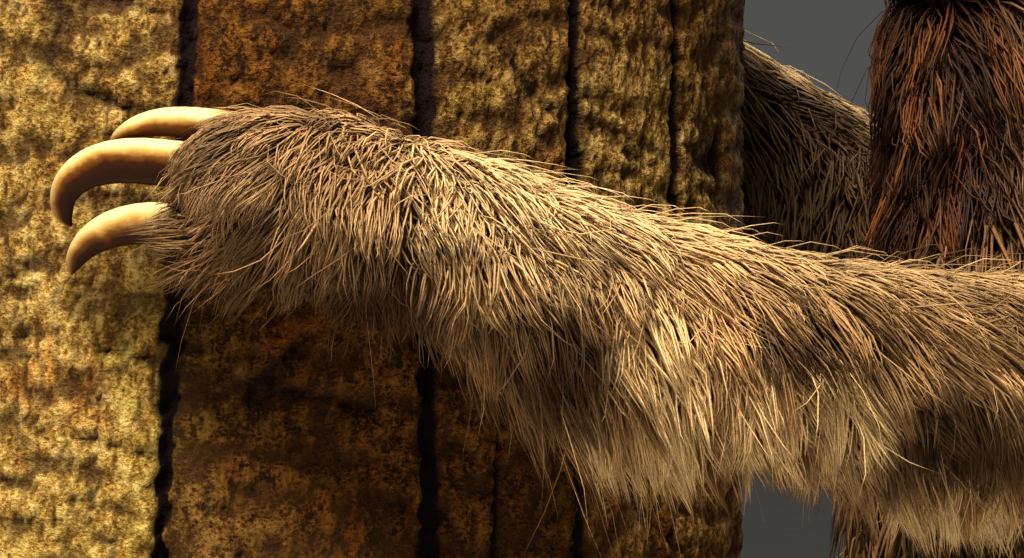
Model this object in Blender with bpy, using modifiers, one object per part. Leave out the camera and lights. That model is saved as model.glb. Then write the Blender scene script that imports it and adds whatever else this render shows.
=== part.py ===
"""A life-size three-toed sloth that hugs a cut length of tree trunk on a display stand.

Metres, +Z up. The trunk's axis is the Z axis and the origin is on the floor under it.
The sloth clings to the +X side and faces -X. Its left is the -Y side.

The body's solids reach out to the tips of the coat. The body is fused from tubes and
balls, then parted by thin cuts where a person would name its parts.
"""

import math

import bmesh
import bpy
from mathutils import Matrix, Vector

# ---------------------------------------------------------------- driving dimensions

GAP = 0.0004  # clear space between neighbouring solids
CUT_WIDTH = 0.0007  # the thin cuts that part the body

PERCH_RADIUS = 0.180
PERCH_BOTTOM = 0.080
PERCH_TOP = 0.920
PERCH_RINGS = 8
# The deep fissures of the bark, in degrees round the trunk from the -Y side.
FISSURES = (-4.2, 23.0, 43.5, 60.6, 87.0, 122.0, 149.0, 187.0, 209.0, 248.0, 279.0, 301.0, 333.0)
FISSURE_DEPTH = 0.0065
FISSURE_EDGE = math.degrees(0.0036 / PERCH_RADIUS)  # from a fissure's floor to its lip
FIRST_SWAY = 0.0070  # how far the first fissure, which leans, strays to its sides
FRONT_SWAY = 0.0022  # the same for the next ones, up to BACK_FISSURE
BACK_SWAY = 0.0080  # the same for those round the sides and back
BACK_FISSURE = 4
WIDE_PLATE = 22.0  # degrees: a plate of bark wider than this has one more column

BASE_LENGTH, BASE_WIDTH, BASE_THICKNESS = 0.560, 0.420, 0.024
BASE_CENTRE_X = 0.070
BASE_CORNER = 0.040
ROD_RADIUS = 0.010
ROD_X = (-0.090, 0.100)

BODY_VOXEL, BODY_TRIANGLES = 0.0050, 2000
HEAD_VOXEL, HEAD_TRIANGLES = 0.0025, 640
TRUNK_TRIANGLES = 360
ROOT_STANDOFF = 0.0045  # how far outside the trunk's own form the limbs are parted from it

HEAD_CENTRE = Vector((0.262, -0.010, 0.786))
NECK_TOP = 0.731  # the height of the cut between the neck and the head
HEAD_TURN = math.radians(62)  # the head's turn from the way the chest faces, to its left
HEAD_TILT = math.radians(4)  # nose up
EYE_RADIUS = 0.0056
EYE_PLACE = (0.0385, 0.0225, 0.0070)  # forward, to the side and up from the head's centre

HAND_CLAW_WIDTH, HAND_CLAW_DEPTH = 0.0092, 0.0136
FOOT_CLAW_WIDTH, FOOT_CLAW_DEPTH = 0.0076, 0.0106
CLAW_ROOT = 0.014  # how deep a claw's root sits in the coat
CLAW_TIP = 0.26  # the tip's width, as a share of the root's
CLAW_TAPER = 3.0  # how late a claw starts to narrow
CLAW_HOOK = 1.4  # how late a claw starts to bend: 1 is an even curve
CLAW_SPREAD = 0.10  # how far the outer claws turn away from the middle one

# Each run of stations is a centre line with the coat's outer radius at each place.
TORSO = (
    ((0.262, 0.000, 0.230), 0.054),
    ((0.270, 0.000, 0.275), 0.088),
    ((0.284, 0.000, 0.355), 0.103),
    ((0.293, 0.000, 0.440), 0.106),
    ((0.297, 0.000, 0.520), 0.101),
    ((0.292, 0.000, 0.590), 0.089),
    ((0.284, 0.000, 0.640), 0.070),
)
MANTLE_CENTRE, MANTLE_RADII = (0.289, 0.000, 0.603), (0.078, 0.098, 0.056)
YOKE_CENTRE, YOKE_RADII = (0.284, 0.000, 0.606), (0.088, 0.113, 0.077)
NECK = (
    ((0.286, 0.000, 0.610), 0.076),
    ((0.279, 0.000, 0.662), 0.066),
    ((0.274, 0.000, 0.705), 0.060),
    ((0.271, 0.000, 0.745), 0.055),
    ((0.269, 0.000, 0.778), 0.040),
)
TAIL = (
    ((0.285, 0.000, 0.245), 0.032),
    ((0.314, 0.000, 0.215), 0.029),
    ((0.331, 0.000, 0.193), 0.022),
    ((0.336, 0.000, 0.181), 0.010),
)
ARM_LEFT = (
    ((0.290, -0.046, 0.603), 0.046),
    ((0.243, -0.118, 0.606), 0.042),
    ((0.192, -0.171, 0.615), 0.038),
    ((0.125, -0.188, 0.633), 0.0345),
    ((0.066, -0.199, 0.656), 0.0325),
    ((0.030, -0.201, 0.667), 0.0315),
    ((0.010, -0.202, 0.669), 0.0255),
    ((0.003, -0.202, 0.668), 0.014),
)
FRINGE_LEFT = (
    ((0.262, -0.096, 0.570), 0.026),
    ((0.192, -0.168, 0.590), 0.031),
    ((0.125, -0.190, 0.606), 0.029),
    ((0.070, -0.200, 0.631), 0.023),
    ((0.035, -0.203, 0.650), 0.016),
)
ARM_RIGHT = (
    ((0.290, 0.046, 0.608), 0.046),
    ((0.252, 0.118, 0.640), 0.042),
    ((0.208, 0.178, 0.676), 0.038),
    ((0.156, 0.190, 0.712), 0.0345),
    ((0.104, 0.186, 0.747), 0.0325),
    ((0.070, 0.194, 0.770), 0.0305),
    ((0.046, 0.200, 0.784), 0.0250),
    ((0.038, 0.202, 0.788), 0.014),
)
FRINGE_RIGHT = (
    ((0.266, 0.096, 0.588), 0.026),
    ((0.216, 0.170, 0.648), 0.029),
    ((0.164, 0.190, 0.686), 0.027),
    ((0.112, 0.190, 0.724), 0.021),
    ((0.080, 0.196, 0.750), 0.015),
)
LEG_LEFT = (
    ((0.278, -0.040, 0.305), 0.060),
    ((0.252, -0.100, 0.352), 0.056),
    ((0.222, -0.148, 0.378), 0.045),
    ((0.186, -0.158, 0.335), 0.0375),
    ((0.150, -0.150, 0.292), 0.033),
    ((0.118, -0.172, 0.284), 0.030),
    ((0.092, -0.188, 0.284), 0.0245),
    ((0.084, -0.192, 0.284), 0.013),
)
LEG_RIGHT = (
    ((0.278, 0.040, 0.295), 0.060),
    ((0.256, 0.100, 0.328), 0.056),
    ((0.228, 0.148, 0.340), 0.045),
    ((0.190, 0.160, 0.292), 0.0375),
    ((0.152, 0.152, 0.246), 0.033),
    ((0.120, 0.172, 0.236), 0.030),
    ((0.094, 0.188, 0.235), 0.0245),
    ((0.086, 0.192, 0.235), 0.013),
)

FRINGE_LEG_LEFT = (
    ((0.262, -0.075, 0.312), 0.042),
    ((0.232, -0.128, 0.340), 0.038),
    ((0.205, -0.150, 0.318), 0.031),
    ((0.178, -0.150, 0.284), 0.022),
)
FRINGE_LEG_RIGHT = (
    ((0.264, 0.075, 0.294), 0.042),
    ((0.238, 0.128, 0.304), 0.038),
    ((0.210, 0.150, 0.276), 0.031),
    ((0.180, 0.150, 0.240), 0.022),
)

# Where each limb is cut across, as a place along its stations: 2.5 is half way from
# station 2 to station 3. Beside it stands half the width of the cut.
LIMB_CUTS = {
    "arm": ((2.0, 0.078), (4.1, 0.055)),
    "leg": ((2.0, 0.086), (4.1, 0.055)),
}
PART_PLACES = (1.5, 3.2, 5.2)  # where each of a limb's three parts has its middle

# A claw's base, the way it sets out, the way it bends, its visible length, its bend in
# degrees, its depth and how late it bends.
CLAWS_HAND_LEFT = (
    ((0.003, -0.1930, 0.6882), (-1, 0.10, 0.12), (0, 0.50, -1), 0.0390, 54, 0.0098, 2.2),
    ((-0.003, -0.1945, 0.6744), (-1, 0.06, 0.14), (0, 0.32, -1), 0.0605, 132, 0.0158, 3.0),
    ((-0.004, -0.1945, 0.6558), (-1, 0.08, 0.10), (0, 0.35, -1), 0.0500, 82, 0.0142, 2.2),
)


# ---------------------------------------------------------------- helpers


def clear_scene():
    for obj in list(bpy.data.objects):
        bpy.data.objects.remove(obj, do_unlink=True)


def new_collection(name):
    made = bpy.data.collections.new(name)
    bpy.context.scene.collection.children.link(made)
    return made


def finish(name, colour, roughness, metallic=0.0):
    """A Principled material of one colour."""
    made = bpy.data.materials.new(name)
    made.use_nodes = True
    shader = made.node_tree.nodes["Principled BSDF"]
    shader.inputs["Base Color"].default_value = (*colour, 1.0)
    shader.inputs["Roughness"].default_value = roughness
    shader.inputs["Metallic"].default_value = metallic
    return made


def add_object(name, mesh, collection, material=None):
    obj = bpy.data.objects.new(name, mesh)
    collection.objects.link(obj)
    if material:
        mesh.materials.clear()
        mesh.materials.append(material)
    return obj


def evaluated_mesh(obj):
    """The object's mesh in world space with its modifiers applied."""
    bpy.context.view_layer.update()
    graph = bpy.context.evaluated_depsgraph_get()
    mesh = bpy.data.meshes.new_from_object(obj.evaluated_get(graph))
    mesh.transform(obj.matrix_world)
    return mesh


def replace_with_evaluated(obj):
    """Applies every modifier and the object's transform."""
    mesh = evaluated_mesh(obj)
    obj.modifiers.clear()
    obj.data = mesh
    obj.matrix_world = Matrix.Identity(4)
    return obj


def tube(name, stations):
    """A closed tube along a smooth line through the stations, with a radius at each."""
    curve = bpy.data.curves.new(name, "CURVE")
    curve.dimensions = "3D"
    curve.resolution_u = 6
    curve.use_fill_caps = True
    curve.bevel_depth = 1.0
    curve.bevel_resolution = 6
    spline = curve.splines.new("BEZIER")
    spline.bezier_points.add(len(stations) - 1)
    for point, (place, radius) in zip(spline.bezier_points, stations):
        point.co = place
        point.radius = radius
        point.handle_left_type = point.handle_right_type = "AUTO"
    obj = bpy.data.objects.new(name, curve)
    helpers.objects.link(obj)
    mesh = evaluated_mesh(obj)
    bpy.data.objects.remove(obj)
    weld(mesh)
    return add_object(name, mesh, helpers)


def weld(mesh, within=0.00005):
    """Joins a mesh's doubled points, as where a curve's caps meet its sides."""
    edit = bmesh.new()
    edit.from_mesh(mesh)
    bmesh.ops.remove_doubles(edit, verts=edit.verts, dist=within)
    bmesh.ops.recalc_face_normals(edit, faces=edit.faces)
    edit.to_mesh(mesh)
    edit.free()


def ball(name, centre, radii, turn=None, collection=None, material=None, sides=24):
    """An ellipsoid, from a UV sphere stretched to its radii and turned into place."""
    edit = bmesh.new()
    bmesh.ops.create_uvsphere(edit, u_segments=sides, v_segments=sides // 2, radius=1.0)
    mesh = bpy.data.meshes.new(name)
    edit.to_mesh(mesh)
    edit.free()
    rotation = (turn or Matrix.Identity(3)).to_4x4()
    mesh.transform(Matrix.Translation(centre) @ rotation @ Matrix.Diagonal((*radii, 1)))
    return add_object(name, mesh, collection or helpers, material)


def fuse(name, pieces, voxel, triangles, smooth_rounds):
    """One closed skin over overlapping pieces, smoothed where they meet."""
    edit = bmesh.new()
    for piece in pieces:
        edit.from_mesh(piece.data)
        bpy.data.objects.remove(piece)
    mesh = bpy.data.meshes.new(name)
    edit.to_mesh(mesh)
    edit.free()
    obj = add_object(name, mesh, helpers)
    remesh = obj.modifiers.new("one_skin", "REMESH")
    remesh.mode = "VOXEL"
    remesh.voxel_size = voxel
    smooth = obj.modifiers.new("soften", "SMOOTH")
    smooth.factor = 0.5
    smooth.iterations = smooth_rounds
    replace_with_evaluated(obj)
    faces = sum(len(face.vertices) - 2 for face in obj.data.polygons)
    thin = obj.modifiers.new("fewer_faces", "DECIMATE")
    thin.ratio = triangles / faces
    replace_with_evaluated(obj)
    weld(obj.data)
    return obj


def cut(obj, cutter, keep_cutter=False):
    """Takes the cutter's volume out of the object."""
    boolean = obj.modifiers.new("cut", "BOOLEAN")
    boolean.operation = "DIFFERENCE"
    boolean.solver = "EXACT"
    boolean.object = cutter
    replace_with_evaluated(obj)
    if not keep_cutter:
        bpy.data.objects.remove(cutter)
    return obj


def swollen(obj, by):
    """A copy of a closed object, larger by a constant wall."""
    copy = add_object(obj.name + "_swollen", obj.data.copy(), helpers)
    grow = copy.modifiers.new("grow", "DISPLACE")
    grow.strength = by
    grow.mid_level = 0.0
    return replace_with_evaluated(copy)


def along(stations, place):
    """The point and the direction at a place along a run of stations.

    At a station itself the direction is the mean of those on its two sides."""
    index = min(int(place), len(stations) - 2)
    start, end = (Vector(stations[i][0]) for i in (index, index + 1))
    way = (end - start).normalized()
    if place == index and index > 0:
        way += (start - Vector(stations[index - 1][0])).normalized()
    return start.lerp(end, place - index), way.normalized()


def loose_parts(mesh):
    """Splits a mesh into its separate closed bodies."""
    edit = bmesh.new()
    edit.from_mesh(mesh)
    left = set(edit.verts)
    groups = []
    while left:
        stack = [left.pop()]
        group = set(stack)
        while stack:
            for edge in stack.pop().link_edges:
                for vert in edge.verts:
                    if vert not in group:
                        group.add(vert)
                        stack.append(vert)
        left -= group
        groups.append({vert.index for vert in group})
    edit.free()
    parts = []
    for group in groups:
        part = bmesh.new()
        part.from_mesh(mesh)
        part.verts.ensure_lookup_table()
        doomed = [vert for vert in part.verts if vert.index not in group]
        bmesh.ops.delete(part, geom=doomed, context="VERTS")
        made = bpy.data.meshes.new("part")
        part.to_mesh(made)
        part.free()
        parts.append(made)
    return parts


# ---------------------------------------------------------------- the perch and its stand


def perch_swell(angle, height):
    """How far the trunk's side stands out from a true cylinder, from 0 inwards."""
    flutes = 0.0022 * math.cos(3 * angle + 0.6) + 0.0014 * math.cos(5 * angle - 1.1)
    waves = 0.0012 * math.sin(2 * angle + 9.0 * height)
    return flutes + waves - 0.0036


def fissure_sway(number, height):
    """How far round the trunk a fissure strays at a height, in metres."""
    if number == 0:
        size = FIRST_SWAY
    else:
        size = FRONT_SWAY if number < BACK_FISSURE else BACK_SWAY
    return size * math.sin(9.0 * height + 0.52 + 2.1 * number)


def perch_columns():
    """The columns of the trunk's side: the angle, the fissure it belongs to and its depth.

    A fissure has a lip, a floor and a lip, and each plate between has one or two columns."""
    columns = []
    for number, degrees in enumerate(FISSURES):
        last = number + 1 == len(FISSURES)
        following = FISSURES[0] + 360.0 if last else FISSURES[number + 1]
        columns.append((degrees - FISSURE_EDGE, number, 0.0))
        columns.append((degrees, number, FISSURE_DEPTH))
        columns.append((degrees + FISSURE_EDGE, number, 0.0))
        between = 2 if following - degrees > WIDE_PLATE else 1
        for step in range(1, between + 1):
            share = step / (between + 1)
            columns.append((degrees + (following - degrees) * share, None, 0.0))
    return columns


def perch_solid(name, collection, material, extra=0.0, grooved=True):
    """The trunk: a cylinder whose columns move round to the fissures, and in and out."""
    columns = perch_columns()
    step = 2 * math.pi / len(columns)
    edit = bmesh.new()
    height = PERCH_TOP - PERCH_BOTTOM + 2 * extra
    bmesh.ops.create_cone(
        edit,
        cap_ends=True,
        segments=len(columns),
        radius1=PERCH_RADIUS,
        radius2=PERCH_RADIUS,
        depth=height,
    )
    sides = [e for e in edit.edges if abs(e.verts[0].co.z - e.verts[1].co.z) > 0.5 * height]
    bmesh.ops.subdivide_edges(edit, edges=sides, cuts=PERCH_RINGS - 2, use_grid_fill=True)
    middle = (PERCH_TOP + PERCH_BOTTOM) / 2
    for vert in edit.verts:
        vert.co.z += middle
        index = round((math.pi / 2 - math.atan2(vert.co.y, vert.co.x)) / step)
        degrees, number, depth = columns[-index % len(columns)]
        angle = math.radians(degrees) - math.pi / 2
        if number is not None:
            angle += fissure_sway(number, vert.co.z) / PERCH_RADIUS
        radius = PERCH_RADIUS + extra + perch_swell(angle, vert.co.z)
        if grooved:
            radius -= depth
        vert.co.x, vert.co.y = radius * math.cos(angle), radius * math.sin(angle)
    bmesh.ops.recalc_face_normals(edit, faces=edit.faces)
    mesh = bpy.data.meshes.new(name)
    edit.to_mesh(mesh)
    edit.free()
    return add_object(name, mesh, collection, material)


def stand():
    """A flat board and two short rods that meet the trunk's underside."""
    bpy.ops.mesh.primitive_cube_add(size=1.0)
    board = bpy.context.active_object
    board.name = "stand_base"
    board.data.transform(Matrix.Diagonal((BASE_LENGTH, BASE_WIDTH, BASE_THICKNESS, 1)))
    board.location = (BASE_CENTRE_X, 0, BASE_THICKNESS / 2)
    edit = bmesh.new()
    edit.from_mesh(board.data)
    upright = [e for e in edit.edges if abs(e.verts[0].co.z - e.verts[1].co.z) > 1e-4]
    bmesh.ops.bevel(
        edit, geom=upright, offset=BASE_CORNER, segments=5, affect="EDGES", profile=0.5
    )
    top = [e for e in edit.edges if min(v.co.z for v in e.verts) > 0.49 * BASE_THICKNESS]
    bmesh.ops.bevel(edit, geom=top, offset=0.003, segments=2, affect="EDGES", profile=0.5)
    edit.to_mesh(board.data)
    edit.free()
    for other in board.users_collection:
        other.objects.unlink(board)
    nodes.objects.link(board)
    board.data.materials.append(finish("stand_board", (0.045, 0.030, 0.020), 0.45))
    steel = finish("stand_steel", (0.55, 0.55, 0.56), 0.35, 1.0)
    height = PERCH_BOTTOM - BASE_THICKNESS - 2 * GAP
    for number, x in enumerate(ROD_X, start=1):
        edit = bmesh.new()
        bmesh.ops.create_cone(
            edit,
            cap_ends=True,
            segments=20,
            radius1=ROD_RADIUS,
            radius2=ROD_RADIUS,
            depth=height,
        )
        mesh = bpy.data.meshes.new("stand_rod")
        edit.to_mesh(mesh)
        edit.free()
        rod = add_object(f"stand_rod_{number}", mesh, nodes, steel)
        rod.location = (x, 0, BASE_THICKNESS + GAP + height / 2)


# ---------------------------------------------------------------- claws


def claw_line(base, forward, inward, length, bend_degrees, hook, steps=8):
    """Stations of a claw: it starts inside the coat and bends ever more to its tip.

    Each is a point and a scale from 1 at the root to a blunt tip. The heading turns with
    the share of the length to the power of the hook."""
    forward = Vector(forward).normalized()
    inward = Vector(inward)
    inward = (inward - inward.dot(forward) * forward).normalized()
    point = Vector(base) - forward * CLAW_ROOT
    line = [(point.copy(), 0.90), (point + forward * CLAW_ROOT * 0.55, 0.98)]
    point = Vector(base)
    for step in range(steps):
        share = step / (steps - 1)
        line.append((point.copy(), 1.0 - (1.0 - CLAW_TIP) * share**CLAW_TAPER))
        heading = math.radians(bend_degrees) * (share + 0.5 / (steps - 1)) ** hook
        way = math.cos(heading) * forward + math.sin(heading) * inward
        point += way * length / (steps - 1)
    return line, forward, inward


def claw_mesh(line, side, width, depth, wall=0.0, sides=8):
    """Oval rings across the line. The claw is deeper than wide, with a blunt tip.

    The side direction is square to the plane that the claw bends in."""
    edit = bmesh.new()
    rings = []
    for index, (point, scale) in enumerate(line):
        before = line[max(index - 1, 0)][0]
        after = line[min(index + 1, len(line) - 1)][0]
        way = (after - before).normalized()
        down = side.cross(way).normalized()
        ring = []
        for k in range(sides):
            angle = 2 * math.pi * k / sides
            across = (width / 2 * scale + wall) * math.cos(angle) * side
            below = (depth / 2 * scale + wall) * math.sin(angle) * down
            ring.append(edit.verts.new(point + across + below))
        rings.append(ring)
    for low, high in zip(rings, rings[1:]):
        for k in range(sides):
            following = (k + 1) % sides
            edit.faces.new((low[k], low[following], high[following], high[k]))
    edit.faces.new(list(reversed(rings[0])))
    edit.faces.new(rings[-1])
    bmesh.ops.recalc_face_normals(edit, faces=edit.faces)
    mesh = bpy.data.meshes.new("claw")
    edit.to_mesh(mesh)
    edit.free()
    return mesh


def fan_of_claws(stations, length, bend, depth, spacing):
    """Three claws from the end of a limb, set side by side and hooked to the trunk."""
    end, way = along(stations, len(stations) - 2)
    inward = Vector((-end.x, -end.y, 0)).normalized()
    across = way.cross(inward).normalized()
    if across.z < 0:
        across = -across
    fan = []
    for k in (1, 0, -1):
        base = end + way * 0.004 + across * spacing * k - inward * 0.002
        forward = way + across * CLAW_SPREAD * k - inward * 0.10
        bend_way = inward - 0.25 * Vector((0, 0, 1))
        own_length = length * (1.0 - 0.10 * abs(k))
        fan.append((base, forward, bend_way, own_length, bend, depth, CLAW_HOOK))
    return fan


def add_claws(paw, name, fan, width, perch_cutter, horn):
    """The claws of one paw as nodes of their own, each in a socket in the paw."""
    for number, claw_values in enumerate(fan, start=1):
        base, forward, inward, length, bend, depth, hook = claw_values
        line, ahead, bend_way = claw_line(base, forward, inward, length, bend, hook)
        side = ahead.cross(bend_way).normalized()
        claw = add_object(f"{name}_{number}", claw_mesh(line, side, width, depth), nodes, horn)
        cut(claw, perch_cutter, keep_cutter=True)
        deeper = [(line[0][0] - ahead * GAP, line[0][1]), *line[1:]]
        socket = claw_mesh(deeper, side, width, depth, wall=GAP)
        cut(paw, add_object("socket", socket, helpers))


# ---------------------------------------------------------------- the animal


def head_frame():
    """The head's forward, side and up directions as the columns of a matrix."""
    turn = Matrix.Rotation(math.pi + HEAD_TURN, 3, "Z")
    tilt = Matrix.Rotation(-HEAD_TILT, 3, "Y")
    return turn @ tilt


def head_point(forward, side, up):
    return HEAD_CENTRE + head_frame() @ Vector((forward, side, up))


def build_head(coat, eye_finish, nose_finish):
    """The head on the top of the neck, with dished orbits and a leathery nose."""
    frame = head_frame()
    balls = (
        ((-0.006, 0.000, 0.004), (0.0520, 0.0550, 0.0510)),
        ((-0.010, 0.000, -0.018), (0.0460, 0.0535, 0.0430)),
        ((0.016, 0.000, 0.000), (0.0330, 0.0440, 0.0410)),
        ((0.019, 0.000, -0.022), (0.0290, 0.0360, 0.0260)),
        ((0.0375, 0.000, -0.0145), (0.0185, 0.0235, 0.0175)),
    )
    pieces = [
        ball(f"head_{i}", head_point(*place), radii, frame)
        for i, (place, radii) in enumerate(balls)
    ]
    pieces.append(tube("nape", NECK[2:]))
    head = fuse("head_form", pieces, HEAD_VOXEL, HEAD_TRIANGLES, 4)
    cut(head, block((HEAD_CENTRE.x, 0, NECK_TOP + GAP), (0, 0, -1)))
    forward, side, up = EYE_PLACE
    for name, sign in (("eye_left", -1), ("eye_right", 1)):
        centre = head_point(forward, sign * side, up)
        outward = frame @ Vector((0.86, sign * 0.48, 0.10)).normalized()
        dish = outward.to_track_quat("X", "Z").to_matrix()
        cut(head, ball("orbit", centre + outward * 0.0078, (0.0052, 0.0088, 0.0070), dish, sides=12))
        wall = EYE_RADIUS + GAP
        cut(head, ball("socket", centre, (wall, wall, wall), dish, sides=12))
        radii = (EYE_RADIUS, EYE_RADIUS, EYE_RADIUS)
        ball(name, centre, radii, dish, nodes, eye_finish, sides=10)
    nose_centre, nose_radii = head_point(0.0540, 0, -0.0110), (0.0045, 0.0112, 0.0074)
    ball("nose", nose_centre, nose_radii, frame, nodes, nose_finish, sides=10)
    cut(head, ball("nose_seat", nose_centre, [r + GAP for r in nose_radii], frame, sides=12))
    head.name = "head"
    helpers.objects.unlink(head)
    nodes.objects.link(head)
    head.data.materials.clear()
    head.data.materials.append(coat)


def slab(centre, normal, half_size):
    """A thin square plate, the width of a cut, across the given direction."""
    edit = bmesh.new()
    bmesh.ops.create_cube(edit, size=1.0)
    mesh = bpy.data.meshes.new("slab")
    edit.to_mesh(mesh)
    edit.free()
    turn = Vector(normal).to_track_quat("Z", "Y").to_matrix().to_4x4()
    size = Matrix.Diagonal((2 * half_size, 2 * half_size, CUT_WIDTH, 1))
    mesh.transform(Matrix.Translation(centre) @ turn @ size)
    return add_object("slab", mesh, helpers)


def block(centre, normal, size=0.30):
    """A large cube that stands on a plane, on the side that the normal points to."""
    edit = bmesh.new()
    bmesh.ops.create_cube(edit, size=size)
    mesh = bpy.data.meshes.new("block")
    edit.to_mesh(mesh)
    edit.free()
    turn = Vector(normal).to_track_quat("Z", "Y").to_matrix().to_4x4()
    mesh.transform(Matrix.Translation(centre) @ turn @ Matrix.Translation((0, 0, size / 2)))
    return add_object("block", mesh, helpers)


def trunk_sheath():
    """A thin closed shell just outside the animal's trunk, which parts the limbs from it."""
    pieces = [tube("torso", TORSO), ball("yoke", YOKE_CENTRE, YOKE_RADII)]
    core = fuse("core", pieces, BODY_VOXEL, TRUNK_TRIANGLES, 5)
    inner = swollen(core, ROOT_STANDOFF)
    outer = swollen(core, ROOT_STANDOFF + CUT_WIDTH)
    edit = bmesh.new()
    edit.from_mesh(inner.data)
    bmesh.ops.reverse_faces(edit, faces=edit.faces)
    edit.from_mesh(outer.data)
    mesh = bpy.data.meshes.new("sheath")
    edit.to_mesh(mesh)
    edit.free()
    for used in (core, inner, outer):
        bpy.data.objects.remove(used)
    return add_object("sheath", mesh, helpers)


def build_body(perch_cutter, coat):
    """The body under the head, fused whole and then parted into its named lengths."""
    runs = {
        "torso": TORSO,
        "neck": NECK,
        "tail": TAIL,
        "arm_left": ARM_LEFT,
        "fringe_left": FRINGE_LEFT,
        "arm_right": ARM_RIGHT,
        "fringe_right": FRINGE_RIGHT,
        "leg_left": LEG_LEFT,
        "leg_right": LEG_RIGHT,
        "fringe_leg_left": FRINGE_LEG_LEFT,
        "fringe_leg_right": FRINGE_LEG_RIGHT,
    }
    pieces = [tube(name, run) for name, run in runs.items()]
    pieces.append(ball("mantle", MANTLE_CENTRE, MANTLE_RADII))
    body = fuse("body", pieces, BODY_VOXEL, BODY_TRIANGLES, 5)
    cut(body, perch_cutter, keep_cutter=True)
    cut(body, block((HEAD_CENTRE.x, 0, NECK_TOP), (0, 0, 1)))
    cut(body, trunk_sheath())

    anchors = {
        "neck": along(NECK, 2)[0],
        "torso": along(TORSO, 3)[0],
        "tail": along(TAIL, 2)[0],
    }
    names = {
        "arm": ("upper_arm", "forearm", "hand"),
        "leg": ("thigh", "shank", "foot"),
    }
    limbs = {
        ("arm", "left"): ARM_LEFT,
        ("arm", "right"): ARM_RIGHT,
        ("leg", "left"): LEG_LEFT,
        ("leg", "right"): LEG_RIGHT,
    }
    for (kind, side), run in limbs.items():
        for place, half_size in LIMB_CUTS[kind]:
            point, way = along(run, place)
            cut(body, slab(point, way, half_size))
        for name, place in zip(names[kind], PART_PLACES):
            anchors[f"{name}_{side}"] = along(run, place)[0]

    parts = loose_parts(body.data)
    bpy.data.objects.remove(body)
    made = {}
    for part in sorted(parts, key=lambda mesh: -len(mesh.vertices)):
        middle = sum((v.co for v in part.vertices), Vector()) / len(part.vertices)
        free = [name for name in anchors if name not in made]
        if not free:
            break
        name = min(free, key=lambda n: (anchors[n] - middle).length)
        made[name] = add_object(name, part, nodes, coat)
    return made


def build():
    coat = finish("coat", (0.290, 0.190, 0.105), 0.85)
    horn = finish("horn", (0.700, 0.500, 0.240), 0.40)
    eye_finish = finish("eye", (0.020, 0.010, 0.006), 0.08)
    nose_finish = finish("nose_leather", (0.030, 0.020, 0.016), 0.50)
    bark = finish("bark", (0.360, 0.240, 0.110), 0.90)

    perch_solid("perch_log", nodes, bark)
    perch_cutter = perch_solid("perch_cutter", helpers, None, GAP, grooved=False)
    stand()
    build_head(coat, eye_finish, nose_finish)
    body = build_body(perch_cutter, coat)
    fans = {
        "hand_left": (CLAWS_HAND_LEFT, HAND_CLAW_WIDTH),
        "hand_right": (
            fan_of_claws(ARM_RIGHT, 0.058, 88, HAND_CLAW_DEPTH, 0.0150),
            HAND_CLAW_WIDTH,
        ),
        "foot_left": (
            fan_of_claws(LEG_LEFT, 0.044, 84, FOOT_CLAW_DEPTH, 0.0125),
            FOOT_CLAW_WIDTH,
        ),
        "foot_right": (
            fan_of_claws(LEG_RIGHT, 0.044, 84, FOOT_CLAW_DEPTH, 0.0125),
            FOOT_CLAW_WIDTH,
        ),
    }
    for paw, (fan, width) in fans.items():
        add_claws(body[paw], f"claw_{paw}", fan, width, perch_cutter, horn)
    for obj in list(helpers.objects):
        bpy.data.objects.remove(obj)
    for obj in nodes.objects:
        if obj.type == "MESH" and not obj.name.startswith("stand_base"):
            obj.data.shade_smooth()
            obj.data.set_sharp_from_angle(angle=math.radians(50))


clear_scene()
nodes = new_collection("three_toed_sloth")
helpers = new_collection("cutters")
helpers.hide_render = True
build()
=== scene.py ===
# %% [markdown]
# # A three-toed sloth on a length of trunk
#
# This lesson dresses a plain solid model of a sloth. The solids give the outline out to the
# tips of the coat. Inside them goes one smooth skin, and over it grows a coat of solid locks.
# Eyes, nose, claws, bark and stand each get a piece or a finish of their own.

# %% Load the frame
import math

import bpy
import numpy as np
from mathutils import Matrix, Vector


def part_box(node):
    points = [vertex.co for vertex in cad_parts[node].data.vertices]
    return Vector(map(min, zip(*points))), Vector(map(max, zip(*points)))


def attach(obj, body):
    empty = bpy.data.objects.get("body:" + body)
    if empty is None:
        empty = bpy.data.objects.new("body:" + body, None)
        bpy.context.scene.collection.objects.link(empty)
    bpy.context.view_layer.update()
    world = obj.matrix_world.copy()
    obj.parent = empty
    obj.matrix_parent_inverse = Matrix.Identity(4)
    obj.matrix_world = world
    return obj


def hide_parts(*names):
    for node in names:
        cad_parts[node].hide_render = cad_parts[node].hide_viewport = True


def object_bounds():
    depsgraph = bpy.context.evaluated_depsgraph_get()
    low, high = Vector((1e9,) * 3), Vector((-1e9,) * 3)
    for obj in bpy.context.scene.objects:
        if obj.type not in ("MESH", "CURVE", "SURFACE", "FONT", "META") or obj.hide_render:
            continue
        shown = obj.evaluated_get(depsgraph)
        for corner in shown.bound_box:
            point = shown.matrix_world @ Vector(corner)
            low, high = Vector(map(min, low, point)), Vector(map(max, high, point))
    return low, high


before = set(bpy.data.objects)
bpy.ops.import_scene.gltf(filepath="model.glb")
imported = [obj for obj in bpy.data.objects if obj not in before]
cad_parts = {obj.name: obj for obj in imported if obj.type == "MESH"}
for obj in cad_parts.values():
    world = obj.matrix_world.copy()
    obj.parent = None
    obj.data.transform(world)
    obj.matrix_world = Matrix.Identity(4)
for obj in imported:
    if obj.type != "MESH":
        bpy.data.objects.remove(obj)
cad_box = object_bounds()
print("solids:", len(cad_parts), "box", [round(v, 3) for v in cad_box[1] - cad_box[0]])

# %% [markdown]
# ## Camera
#
# The view is a close one: the left forearm and hand fill it, seen square on and from far away
# with a long lens, so that the trunk's sides stay parallel.

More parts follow.
